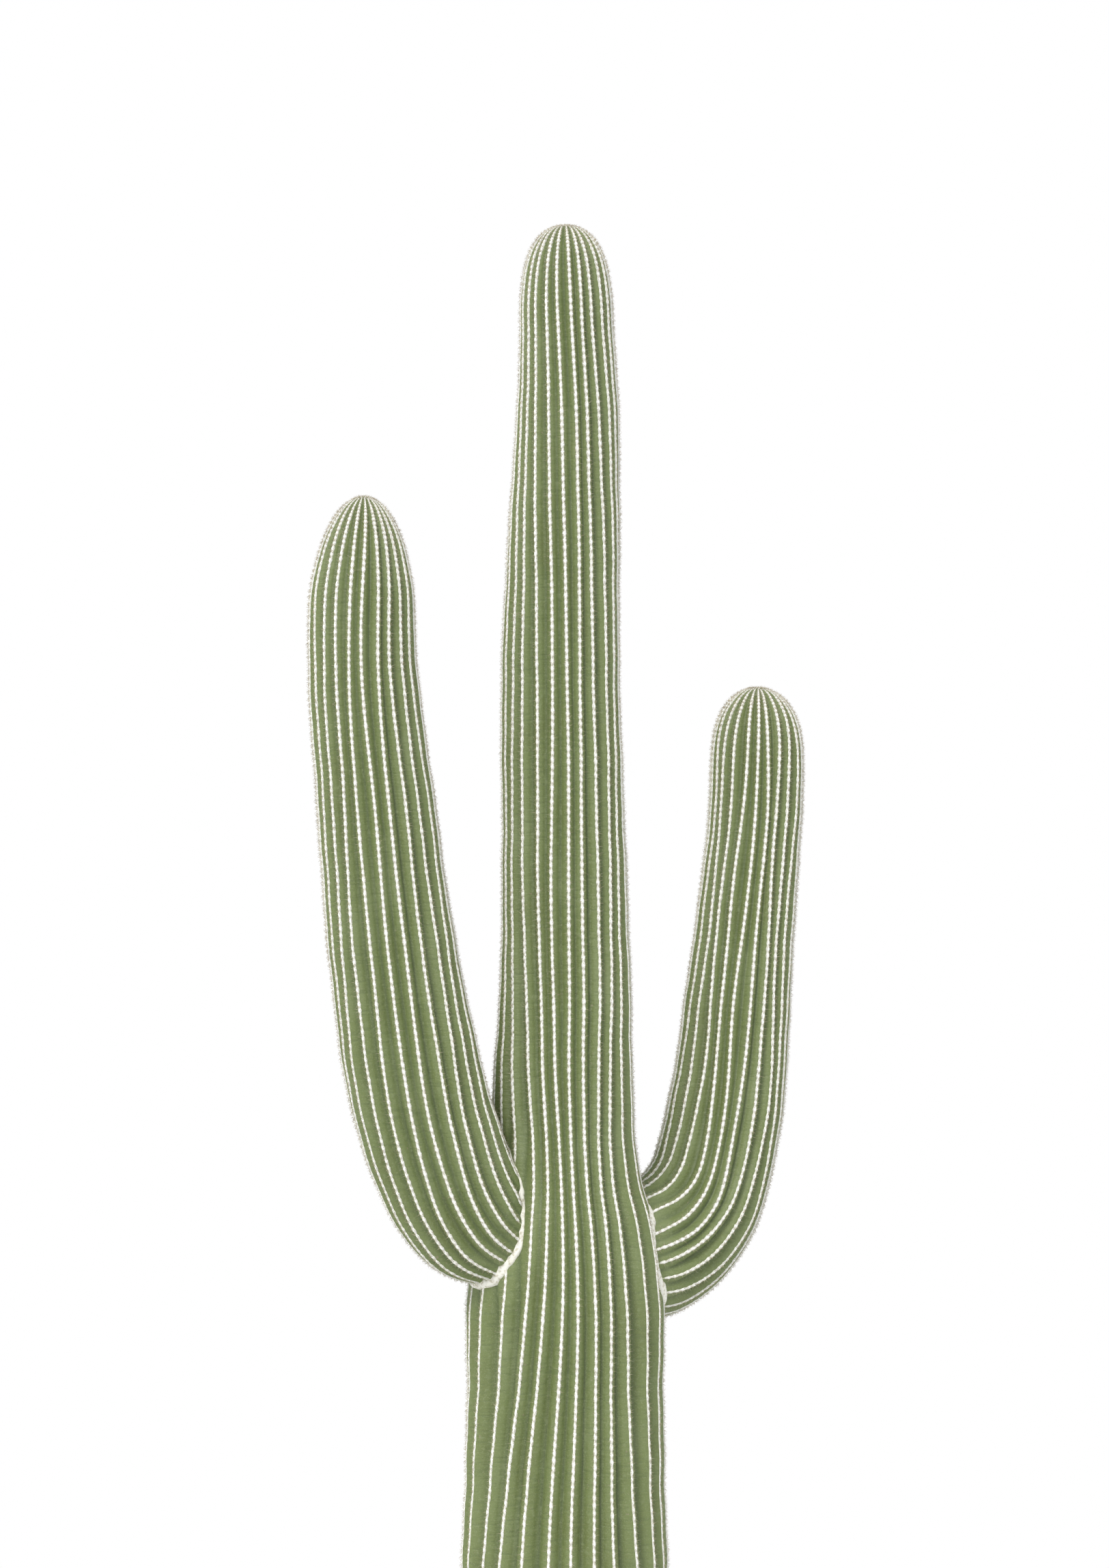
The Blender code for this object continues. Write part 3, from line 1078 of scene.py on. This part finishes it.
@dataclass(frozen=True)
class Shape:
    """A small closed shape that is strewn many times.

    Attributes:
        corners: Its vertices, one unit wide and one high, with its foot at the origin.
        faces: The vertices of each of its triangles.
    """

    corners: np.ndarray
    faces: np.ndarray

    @staticmethod
    def cone(sides: int, top: float, crown: float) -> "Shape":
        """A cone or a stump on the XY plane, with a flat side towards Y.

        Args:
            sides: How many sides it has.
            top: Radius at the top, where the foot's is 1. At 0 it is a point.
            crown: How far the middle of a stump's top stands out.

        Returns:
            The shape, in triangles.
        """
        facing_up = 0.99
        bm = bmesh.new()
        bmesh.ops.create_cone(bm, cap_ends=True, segments=sides, radius1=1, radius2=top, depth=1)
        bmesh.ops.translate(bm, verts=bm.verts, vec=(0, 0, 0.5))
        half_side = Matrix.Rotation(math.pi / sides, 3, "Z")
        bmesh.ops.rotate(bm, verts=bm.verts, cent=(0, 0, 0), matrix=half_side)
        bmesh.ops.remove_doubles(bm, verts=bm.verts, dist=WELD_DISTANCE)
        if crown:
            lids = [face for face in bm.faces if face.normal.z > facing_up]
            bmesh.ops.poke(bm, faces=lids, offset=crown)
        bmesh.ops.triangulate(bm, faces=bm.faces)
        bmesh.ops.recalc_face_normals(bm, faces=bm.faces)
        bm.verts.index_update()
        corners = np.array([vertex.co for vertex in bm.verts])
        faces = np.array([[vertex.index for vertex in face.verts] for face in bm.faces])
        bm.free()
        return Shape(corners, faces)

    def strew(self, name: str, places: np.ndarray, frames: np.ndarray) -> bpy.types.Object:
        """One piece that holds many copies of the shape.

        Args:
            name: The piece's name.
            places: Where the foot of each copy is.
            frames: Three rows for each copy: what its own X, Y and Z of length 1 become.

        Returns:
            The piece, at the origin.
        """
        corners = places[:, None] + np.einsum("vk,nkc->nvc", self.corners, frames)
        starts = np.arange(len(places))[:, None, None] * len(self.corners)
        faces = (self.faces[None] + starts).reshape(-1, 3)
        mesh = bpy.data.meshes.new(name)
        mesh.vertices.add(corners.shape[0] * corners.shape[1])
        mesh.vertices.foreach_set("co", corners.astype(np.float32).ravel())
        mesh.loops.add(faces.size)
        mesh.loops.foreach_set("vertex_index", faces.astype(np.int32).ravel())
        mesh.polygons.add(len(faces))
        mesh.polygons.foreach_set("loop_start", np.arange(0, faces.size, 3, dtype=np.int32))
        mesh.update(calc_edges=True)
        mesh.polygons.foreach_set("use_smooth", np.ones(len(faces), dtype=bool))
        return placed(name, mesh)


@dataclass(frozen=True)
class SpineKind:
    """One kind of spine.

    Attributes:
        label: What the spines are called in the names of their pieces.
        count: How many an areole has.
        length: Shortest and longest, in metres.
        thickness: Radius at the foot, in metres.
        lean: Lowest and highest angle above the skin, in degrees.
        stand_off: The furthest that a tip stands off the crest, in metres.
        gather: How much they gather up and down the rib, from 0 for evenly spread to 0.5.
        across: Length of those that lie across the rib, as a share of those that lie along it.
        low_growth: How many times longer they are at the foot of the trunk than higher up.
    """

    label: str
    count: int
    length: tuple[float, float]
    thickness: float
    lean: tuple[float, float]
    stand_off: float
    gather: float
    across: float
    low_growth: float


RADIAL_SPINES = SpineKind(
    label="radial_spines",
    count=10,
    length=(0.010, 0.015),
    thickness=0.00048,
    lean=(5.0, 18.0),
    stand_off=0.0040,
    gather=0.30,
    across=0.60,
    low_growth=1.6,
)
CENTRAL_SPINES = SpineKind(
    label="central_spines",
    count=4,
    length=(0.012, 0.019),
    thickness=0.00072,
    lean=(22.0, 50.0),
    stand_off=0.0085,
    gather=0.0,
    across=1.0,
    low_growth=2.8,
)


@dataclass(frozen=True)
class Coat:
    """The finishes of areoles of one age.

    Attributes:
        label: What the names of their pieces say before the kind.
        felt: The finish of the pads.
        horns: The finish of each kind of spine.
        kept: Share of the spines that haven't dropped off.
        size: Size of the pads and spines, where young ones are 1.
        top: Height up to which areoles have this age, give or take a blur.
    """

    label: str
    felt: CreamFelt
    horns: tuple[tuple[SpineKind, PaleHorn], ...]
    kept: float
    size: float
    top: float


@dataclass
class Areoles:
    """The areoles of a stem: felt pads in a row on every rib, with their spines.

    Attributes:
        stem: The stem that they stand on.
        hidden: Says of points on the crests which of them lie inside another stem.
        age_blur: How far the heights at which one age gives way to the next are blurred.
        pad: Half the width of a pad, how high it stands over the crest and how deep it sits in it.
        overlap: Half the length of a pad as a share of the distance to the next one, which it runs into.
        full_pitch: Distance between ribs below which the pads shrink with it.
        least_size: Size of the smallest pads, where full ones are 1.
        low_top: Height below which the spines are longer.
        least_pitch: Distance between ribs below which only the crown's pads stand.
        jitter: How far an areole strays along its rib, as a share of a step.
        size_range: Smallest and largest size of an areole, before it is fitted to its rib.
        reach_range: Shortest and longest pad, as a share of the length that the overlap gives.
        slope_step: How far along the rib its slope is read to either side, in metres.
        tip_gap: How far from the very tip that reading stops, in metres.
        scar_gap: Distance from a scar within which none stand.
        ground_gap: Height above the ground within which none stand.
        low_band: Height above that gap within which spines don't point down.
        crown_pads: How many stand round the growing point.
        crown_step: Radius that the spiral of these pads has at the first turn.
        crown_start: How far along the spiral the first one stands.
        crown_size: Size of these pads.
        pad_sides: How many sides a pad has.
        pad_top: Radius of its top, where its foot's is 1.
        pad_crown: How far the middle of its top stands out.
        spine_sides: How many sides a spine has.
        spine_spread: How far a spine strays round its areole, as a share of a step.
        spine_lift: Height of its foot, as a share of the pad's.
        spine_foot: Distance of its foot from the pad's middle, as a share of half the pad's width.
        spine_tilt: Shift that gives a spine which points straight out a direction across it.
        most_triangles: Limit of triangles in a piece.
    """

    stem: Stem
    hidden: Callable[[np.ndarray], np.ndarray]
    age_blur: float = 0.16
    pad: tuple[float, float, float] = (0.0061, 0.0012, 0.0030)
    overlap: float = 0.90
    full_pitch: float = 0.024
    least_size: float = 0.40
    low_top: float = 1.25
    least_pitch: float = 0.0085
    jitter: float = 0.05
    size_range: tuple[float, float] = (0.88, 1.10)
    reach_range: tuple[float, float] = (0.95, 1.05)
    slope_step: float = 0.0005
    tip_gap: float = 1e-6
    scar_gap: float = 0.013
    ground_gap: float = 0.018
    low_band: float = 0.05
    crown_pads: int = 34
    crown_step: float = 0.0062
    crown_start: float = 0.4
    crown_size: float = 0.60
    pad_sides: int = 6
    pad_top: float = 0.62
    pad_crown: float = 0.2
    spine_sides: int = 3
    spine_spread: float = 0.4
    spine_lift: float = 0.5
    spine_foot: float = 0.55
    spine_tilt: float = 0.01
    most_triangles: int = 190_000

    def __post_init__(self) -> None:
        """Places the areoles and works out which way each one faces."""
        self.random = np.random.default_rng(self.stem.seed)
        self.points = np.empty((0, 3))
        self.out = np.empty((0, 3))
        self.up = np.empty((0, 3))
        self.size = np.empty(0)
        self.reach = np.empty(0)
        for rib in range(self.stem.ribs):
            self.add_row(rib)
        self.add_crown()
        self.side = np.cross(self.up, self.out)
        order = np.argsort(self.points[:, 2], kind="stable")
        for part in ("points", "out", "up", "side", "size", "reach"):
            setattr(self, part, getattr(self, part)[order])

    def add(self, turn: np.ndarray, along: np.ndarray, size: np.ndarray, reach: np.ndarray) -> None:
        """Adds areoles.

        Args:
            turn: Bearing of each.
            along: Distance along the stem of each.
            size: Size of each as a share of the full one.
            reach: Half the length of each pad, in metres.
        """
        stem = self.stem
        ends = []
        for shift in (-self.slope_step, self.slope_step):
            shifted = np.minimum(along + shift, stem.length - self.tip_gap)
            away = stem.direction(shifted, turn) * stem.crest_radius(shifted)[:, None]
            ends.append(stem.centre(shifted) + away)
        up = unit(ends[1] - ends[0])
        out = stem.direction(along, turn)
        out = unit(out - (out * up).sum(axis=1, keepdims=True) * up)
        places = stem.centre(along) + stem.direction(along, turn) * stem.crest_radius(along)[:, None]
        places = places + out * stem.knob_height / 2
        keep = (places[:, 2] > self.ground_gap) & ~self.hidden(places)
        if len(stem.scars):
            keep &= nearest(places, stem.scars) > self.scar_gap
        self.points = np.vstack([self.points, places[keep]])
        self.out = np.vstack([self.out, out[keep]])
        self.up = np.vstack([self.up, up[keep]])
        self.size = np.concatenate([self.size, size[keep]])
        self.reach = np.concatenate([self.reach, reach[keep]])

    def add_row(self, rib: int) -> None:
        """Adds the areoles of one rib, up to where the ribs crowd together at the tip.

        Args:
            rib: Number of the rib.
        """
        stem = self.stem
        table = stem.rib_beats(rib)
        beats = np.arange(float(stem.areole_lead(np.array(rib))), table[-1], 1.0)
        beats = np.clip(beats + self.random.uniform(-self.jitter, self.jitter, len(beats)), 0, table[-1])
        along = np.interp(beats, table, stem.samples)
        pitch = math.tau * stem.crest_radius(along) / stem.ribs
        free = pitch > self.least_pitch
        along = along[free]
        size = np.clip(pitch[free] / self.full_pitch, self.least_size, 1.0)
        size = size * self.random.uniform(*self.size_range, len(along))
        crest = stem.crest_point(np.full_like(along, rib), along)
        steps = np.linalg.norm(np.diff(crest, axis=0), axis=1)
        near = np.minimum(np.append(steps, steps[-1]), np.insert(steps, 0, steps[0]))
        reach = near * self.overlap * self.random.uniform(*self.reach_range, len(along))
        self.add(stem.rib_bearing(np.full_like(along, rib), along), along, size, reach)

    def add_crown(self) -> None:
        """Adds the woolly areoles round the growing point, in a spiral."""
        stem = self.stem
        number = np.arange(self.crown_pads)
        radius = self.crown_step * np.sqrt(number + self.crown_start)
        dome = stem.samples[stem.samples > stem.length - stem.dome_height]
        along = np.interp(radius, stem.crest_radius(dome)[::-1], dome[::-1])
        size = np.full(len(number), self.crown_size)
        self.add(number * GOLDEN_ANGLE, along, size, size * self.pad[0])

    def build(self, coats: tuple[Coat, ...]) -> None:
        """Makes the pads and spines.

        Args:
            coats: The finishes of each age, from the oldest, near the ground, to the youngest.
        """
        height = self.points[:, 2] + self.random.uniform(-self.age_blur, self.age_blur, len(self.points))
        bare = np.ones(len(height), dtype=bool)
        for coat in coats:
            chosen = bare & (height < coat.top)
            bare &= ~chosen
            if chosen.any():
                self.build_coat(coat, chosen)

    def build_coat(self, coat: Coat, chosen: np.ndarray) -> None:
        """Makes the pads and spines of areoles of one age.

        Args:
            coat: The finishes of that age.
            chosen: Which areoles have it.
        """
        stump = Shape.cone(self.pad_sides, self.pad_top, self.pad_crown)
        pads = self.pads(chosen, coat)
        self.add_pieces(f"{coat.label}felt_pads", stump, pads, coat.felt.material())
        needle = Shape.cone(self.spine_sides, 0.0, 0.0)
        for kind, horn in coat.horns:
            spines = self.spines(kind, chosen, coat)
            self.add_pieces(f"{coat.label}{kind.label}", needle, spines, horn.material())

    def pads(self, chosen: np.ndarray, coat: Coat) -> tuple[np.ndarray, np.ndarray]:
        """Feet and frames of the felt pads.

        Args:
            chosen: Which areoles they belong to.
            coat: The age of those areoles.

        Returns:
            The foot of each pad, and its frame for Shape.strew.
        """
        width, rise, depth = self.pad
        size = self.size[:, None]
        across = self.side * width * size
        outward = self.out * (rise + depth) * size
        frames = np.stack([across, self.up * self.reach[:, None], outward], axis=1) * coat.size
        feet = self.points - self.out * depth * size * coat.size
        return feet[chosen], frames[chosen]

    def spines(self, kind: SpineKind, chosen: np.ndarray, coat: Coat) -> tuple[np.ndarray, np.ndarray]:
        """Feet and frames of the spines of a kind.

        Args:
            kind: The kind of spine.
            chosen: Which areoles they grow from.
            coat: The age of those areoles.

        Returns:
            The foot of each spine, and its frame for Shape.strew.
        """
        points = self.points[chosen]
        out = self.out[chosen]
        up = self.up[chosen]
        side = self.side[chosen]
        size = coat.size * self.size[chosen]
        growth = 1 + (kind.low_growth - 1) * (1 - smooth_step(points[:, 2], 0.0, self.low_top))
        shape = (len(points), kind.count)
        stray = self.random.uniform(-self.spine_spread, self.spine_spread, shape)
        around = math.tau * (np.arange(kind.count) + stray) / kind.count
        around = around + self.random.uniform(0, math.tau, (shape[0], 1))
        around = around - kind.gather * np.sin(2 * around)
        lean = np.radians(self.random.uniform(*kind.lean, shape))
        length = self.random.uniform(*kind.length, shape) * (size * growth)[:, None]
        length = length * (1 - (1 - kind.across) * np.sin(around) ** 2)
        length = np.minimum(length, (kind.stand_off * growth)[:, None] / np.sin(lean))
        flat = np.cos(around)[..., None] * up[:, None] + np.sin(around)[..., None] * side[:, None]
        heading = np.cos(lean)[..., None] * flat + np.sin(lean)[..., None] * out[:, None]
        low = points[:, 2] < self.ground_gap + self.low_band
        heading[low, :, 2] = np.abs(heading[low, :, 2])
        width, rise, _ = self.pad
        feet = points[:, None] + out[:, None] * rise * self.spine_lift * size[:, None, None]
        feet = feet + flat * width * self.spine_foot * size[:, None, None]
        across = unit(np.cross(heading, out[:, None] + self.spine_tilt))
        thick = kind.thickness * size[:, None, None] ** 0.5
        upward = np.cross(heading, across)
        frames = np.stack([across * thick, upward * thick, heading * length[..., None]], axis=2)
        stays = self.random.uniform(0, 1, shape) < coat.kept
        return feet[stays], frames[stays]

    def add_pieces(
        self,
        label: str,
        shape: Shape,
        copies: tuple[np.ndarray, np.ndarray],
        material: bpy.types.Material,
    ) -> None:
        """Strews a shape in as few pieces as the limit on triangles allows, from the foot of the stem up.

        Args:
            label: What the pieces' names say after the stem's.
            shape: The shape.
            copies: The foot of each copy, and its frame.
            material: The pieces' material.
        """
        feet, frames = copies
        count = math.ceil(len(feet) * len(shape.faces) / self.most_triangles)
        parts = zip(np.array_split(feet, count), np.array_split(frames, count))
        for number, (some_feet, some_frames) in enumerate(parts, start=1):
            ending = f"_{number}" if count > 1 else ""
            piece = shape.strew(f"{self.stem.name}_{label}{ending}", some_feet, some_frames)
            dress(piece, material)


@dataclass
class Scar:
    """The low ridge of pale callus where an arm leaves the trunk.

    Attributes:
        arm: The arm.
        seam: Points on the line where the arm meets the trunk, and the direction out of the arm at each.
        thin: Half the ridge's width above the arm, in metres.
        thick: Half its width under the arm, where it carries the weight.
        rise: Height of the ridge as a share of half its width.
        lumps: How far the lumps stand out, as a share of the ridge's width.
        lump_waves: How many waves make them.
        lump_rounds: Fewest waves along the ridge, and one more than the most.
        lump_tilt: Fewest turns of a wave round the ridge, and one more than the most.
        steps: Points along the ridge.
        sides: Points round it.
        softening: How many points of the seam to either side soften each one.
    """

    arm: Arm
    seam: tuple[np.ndarray, np.ndarray]
    thin: float = 0.0100
    thick: float = 0.0175
    rise: float = 0.78
    lumps: float = 0.17
    lump_waves: int = 26
    lump_rounds: tuple[int, int] = (4, 48)
    lump_tilt: tuple[int, int] = (-2, 3)
    steps: int = 320
    sides: int = 18
    softening: int = 4

    def even_loop(self, values: np.ndarray, travel: np.ndarray) -> np.ndarray:
        """Smooths values along the closed seam and reads them at even steps.

        Args:
            values: Three values at each point of the seam.
            travel: Distance walked along the seam at each point, and back at the first.

        Returns:
            The values at each step of the ridge.
        """
        window = range(-self.softening, self.softening + 1)
        soft = sum(np.roll(values, shift, axis=0) for shift in window) / len(window)
        closed = np.vstack([soft, soft[:1]])
        even = np.linspace(0, travel[-1], self.steps, endpoint=False)
        return np.stack([np.interp(even, travel, closed[:, axis]) for axis in range(3)], axis=1)

    @cached_property
    def path(self) -> np.ndarray:
        """The ridge's middle line."""
        points, _ = self.seam
        return self.even_loop(points, self.travel)

    @cached_property
    def travel(self) -> np.ndarray:
        """Measures the closed seam.

        Returns:
            Distance walked along it at each of its points, and back at the first.
        """
        points, _ = self.seam
        closed = np.vstack([points, points[:1]])
        return np.concatenate([[0.0], np.cumsum(np.linalg.norm(np.diff(closed, axis=0), axis=1))])

    def relief(self, turn: np.ndarray, around: np.ndarray) -> np.ndarray:
        """Makes the ridge lumpy, with waves that close on themselves both ways.

        Args:
            turn: How far along the ridge, as an angle.
            around: How far round it, as an angle.

        Returns:
            The ridge's width as a share of the plain one.
        """
        random = np.random.default_rng(self.arm.seed)
        total = np.zeros(np.broadcast(turn, around).shape)
        for _ in range(self.lump_waves):
            wave = random.integers(*self.lump_rounds)
            tilt = random.integers(*self.lump_tilt)
            start = random.uniform(0, math.tau)
            total += np.sin(wave * turn + tilt * around + start) / wave**0.5
        return 1 + self.lumps * total / 2

    def build(self, finish: PaleCork) -> None:
        """Makes the ridge, which faces halfway between the arm's skin and the trunk's.

        Args:
            finish: The ridge's finish.
        """
        path = self.path
        ahead = unit(np.roll(path, -1, axis=0) - np.roll(path, 1, axis=0))
        out = unit(unit(path * (1 - UP)) + unit(self.even_loop(self.seam[1], self.travel)))
        out = unit(out - (out * ahead).sum(axis=1, keepdims=True) * ahead)
        side = np.cross(ahead, out)
        low_share = 1 - smooth_step(path[:, 2], path[:, 2].min(), path[:, 2].mean())
        width = (self.thin + (self.thick - self.thin) * low_share)[:, None]
        turn = np.linspace(0, math.tau, self.steps, endpoint=False)[:, None]
        around = np.linspace(0, math.tau, self.sides, endpoint=False)[None, :]
        reach = width * self.relief(turn, around)
        ring = out[:, None] * (reach * self.rise * np.cos(around))[..., None]
        ring = ring + side[:, None] * (reach * np.sin(around))[..., None]
        height = np.broadcast_to((1 + np.cos(around)) / 2, reach.shape)
        piece = swept_grid(f"{self.arm.name}_root_scar", path[:, None] + ring, height, Weld.RING)
        dress(piece, finish.material())


@dataclass
class Studio:
    """A pale floor, soft light and the camera of the photograph.

    Attributes:
        distance: How far the camera stands from the trunk's middle.
        centre: What the middle of the photograph shows: its place across and its height.
        frame_height: Height that the photograph takes in at the trunk's middle.
        sensor: Height of the camera's sensor, in millimetres.
        view_end: Distance beyond which the camera sees nothing.
        floor_radius: Radius of the floor, which ends below the camera's view.
        floor_clear: Distance from the trunk at which the floor starts to fade.
        floor_fade_end: Share of the radius at which it has faded.
        floor_sides: How many sides the floor has.
        floor_colour: Its colour.
        floor_roughness: Its roughness.
        sun_strength: Strength of the key light.
        sun_spread: Angle that it seems to fill, which softens the shadows.
        sun_angles: Its bearing and its height, in degrees.
        sun_colour: Its colour.
        sky_strength: Strength of the light from all round.
        sky_colour: Its colour.
    """

    distance: float = 14.0
    centre: tuple[float, float] = (-0.03, 3.396)
    frame_height: float = 4.592
    sensor: float = 36.0
    view_end: float = 200.0
    floor_radius: float = 5.6
    floor_clear: float = 3.2
    floor_fade_end: float = 0.98
    floor_sides: int = 128
    floor_colour: Colour = (0.86, 0.86, 0.85, 1.0)
    floor_roughness: float = 0.9
    sun_strength: float = 1.75
    sun_spread: float = math.radians(22.0)
    sun_angles: tuple[float, float] = (-22.0, 40.0)
    sun_colour: tuple[float, float, float] = (1.0, 0.975, 0.94)
    sky_strength: float = 0.90
    sky_colour: Colour = (0.97, 0.99, 1.0, 1.0)

    def add_camera(self) -> None:
        """Stands the camera level, in front of the plant."""
        camera = bpy.data.objects.new("camera", bpy.data.cameras.new("camera"))
        bpy.context.scene.collection.objects.link(camera)
        across, height = self.centre
        camera.location = (across, -self.distance, height)
        camera.rotation_euler = (math.pi / 2, 0, 0)
        camera.data.sensor_width = self.sensor
        camera.data.lens = self.sensor * self.distance / self.frame_height
        camera.data.clip_end = self.view_end
        bpy.context.scene.camera = camera

    def add_sun(self) -> None:
        """Hangs a soft key light at the upper left."""
        lamp = bpy.data.lights.new("key", "SUN")
        lamp.energy = self.sun_strength
        lamp.angle = self.sun_spread
        lamp.color = self.sun_colour
        key = bpy.data.objects.new("key", lamp)
        bpy.context.scene.collection.objects.link(key)
        bearing, height = (math.radians(angle) for angle in self.sun_angles)
        level = math.cos(height)
        towards = Vector((math.sin(bearing) * level, -math.cos(bearing) * level, math.sin(height)))
        key.rotation_mode = "QUATERNION"
        key.rotation_quaternion = towards.to_track_quat("Z", "Y")

    def add_sky(self) -> None:
        """Makes the backdrop white and the light from all round it softer than white."""
        world = bpy.data.worlds.new("studio")
        bpy.context.scene.world = world
        world.use_nodes = True
        tree = world.node_tree
        soft = tree.nodes["Background"]
        soft.inputs["Color"].default_value = self.sky_colour
        soft.inputs["Strength"].default_value = self.sky_strength
        white = tree.nodes.new("ShaderNodeBackground")
        white.inputs["Color"].default_value = (1.0, 1.0, 1.0, 1.0)
        rays = tree.nodes.new("ShaderNodeLightPath")
        mix = tree.nodes.new("ShaderNodeMixShader")
        tree.links.new(rays.outputs["Is Camera Ray"], mix.inputs[0])
        tree.links.new(soft.outputs[0], mix.inputs[1])
        tree.links.new(white.outputs[0], mix.inputs[2])
        tree.links.new(mix.outputs[0], tree.nodes["World Output"].inputs["Surface"])

    def add_floor(self) -> None:
        """Lays a pale round floor whose edge fades into the backdrop."""
        bm = bmesh.new()
        bmesh.ops.create_circle(bm, cap_ends=True, segments=self.floor_sides, radius=self.floor_radius)
        mesh = bpy.data.meshes.new("floor")
        bm.to_mesh(mesh)
        bm.free()
        floor = placed("floor", mesh)
        graph = Graph("floor_paint")
        graph.feed(graph.shader.inputs["Base Color"], self.floor_colour)
        graph.feed(graph.shader.inputs["Roughness"], self.floor_roughness)
        place = {0: graph.position()}
        away = graph.node("ShaderNodeVectorMath", {"operation": "LENGTH"}, place).outputs["Value"]
        fade = Field(graph, away).rise(self.floor_clear, self.floor_radius * self.floor_fade_end)
        clear = graph.node("ShaderNodeBsdfTransparent", {}, {})
        sockets = {0: fade, 1: graph.shader.outputs[0], 2: clear.outputs[0]}
        mix = graph.node("ShaderNodeMixShader", {}, sockets)
        graph.tree.links.new(mix.outputs[0], graph.tree.nodes["Material Output"].inputs["Surface"])
        mesh.materials.append(graph.material)

    def build(self) -> None:
        """Sets up the whole studio."""
        self.add_camera()
        self.add_sun()
        self.add_sky()
        self.add_floor()
        bpy.context.scene.view_settings.view_transform = "Standard"


def areole_coats() -> tuple[Coat, ...]:
    """Sets the finishes of the areoles of each age.

    Returns:
        The coats, from the oldest, near the ground, to the youngest.
    """
    worn_horn = PaleHorn("weathered_horn", (0.50, 0.47, 0.40, 1.0), (0.30, 0.27, 0.21, 1.0))
    worn = Coat(
        label="worn_",
        felt=CreamFelt("weathered_felt", (0.54, 0.50, 0.41, 1.0), (0.32, 0.28, 0.21, 1.0)),
        horns=((RADIAL_SPINES, worn_horn), (CENTRAL_SPINES, worn_horn)),
        kept=0.62,
        size=0.85,
        top=0.50,
    )
    fading_horn = PaleHorn("fading_horn", (0.57, 0.53, 0.42, 1.0), (0.37, 0.32, 0.22, 1.0))
    fading = Coat(
        label="fading_",
        felt=CreamFelt("fading_felt", (0.76, 0.73, 0.66, 1.0), (0.60, 0.56, 0.47, 1.0)),
        horns=((RADIAL_SPINES, fading_horn), (CENTRAL_SPINES, fading_horn)),
        kept=0.85,
        size=0.93,
        top=0.86,
    )
    radial_horn = PaleHorn("radial_spine_horn", (0.66, 0.60, 0.45, 1.0), (0.46, 0.39, 0.26, 1.0))
    central_horn = PaleHorn("central_spine_horn", (0.56, 0.49, 0.35, 1.0), (0.36, 0.29, 0.18, 1.0))
    young = Coat(
        label="",
        felt=CreamFelt("cream_felt"),
        horns=((RADIAL_SPINES, radial_horn), (CENTRAL_SPINES, central_horn)),
        kept=1.0,
        size=1.0,
        top=math.inf,
    )
    return worn, fading, young


def main() -> None:
    """Builds the stems, their areoles and spines, the scars, and the studio."""
    logging.basicConfig(level=logging.INFO, format="%(message)s")
    trunk = Trunk(
        name="trunk",
        nodes=("trunk",),
        slot="trunk_skin",
        stations=TRUNK_STATIONS,
        bearing=90.0,
        course=TRUNK_COURSE,
        dome_height=0.24,
        dome_roundness=2.4,
        areole_steps=(0.0228, 0.0192),
        rings_per_areole=2,
        seed=11,
    )
    left = Arm(
        name="left_arm",
        nodes=("left_arm_elbow", "left_arm_upright"),
        slot="arm_skin",
        stations=LEFT_ARM_STATIONS,
        bearing=-66.0,
        course=LEFT_ARM_COURSE,
        dome_height=0.36,
        dome_roundness=2.0,
        areole_steps=(0.0205, 0.0192),
        rings_per_areole=3,
        seed=23,
    )
    right = Arm(
        name="right_arm",
        nodes=("right_arm_elbow", "right_arm_upright"),
        slot="arm_skin",
        stations=RIGHT_ARM_STATIONS,
        bearing=122.0,
        course=RIGHT_ARM_COURSE,
        dome_height=0.20,
        dome_roundness=2.1,
        areole_steps=(0.0205, 0.0192),
        rings_per_areole=3,
        seed=37,
    )
    left_scar = Scar(left, left.meet(trunk, SEAM_PLACES))
    right_scar = Scar(right, right.meet(trunk, SEAM_PLACES), thin=0.0145, thick=0.0200)
    for scar in (left_scar, right_scar):
        scar.arm.scars = scar.path
        scar.build(PaleCork(f"{scar.arm.name}_callus"))
    trunk.scars = np.vstack([left.scars, right.scars])
    for stem in (trunk, left, right):
        stem.build_skin(WaxySkin(f"{stem.name}_wax"))
    coats = areole_coats()
    Areoles(trunk, lambda points: left.holds(points) | right.holds(points)).build(coats)
    for arm in (left, right):
        Areoles(arm, trunk.holds).build(coats)
    Studio().build()


if __name__ == "__main__":
    main()
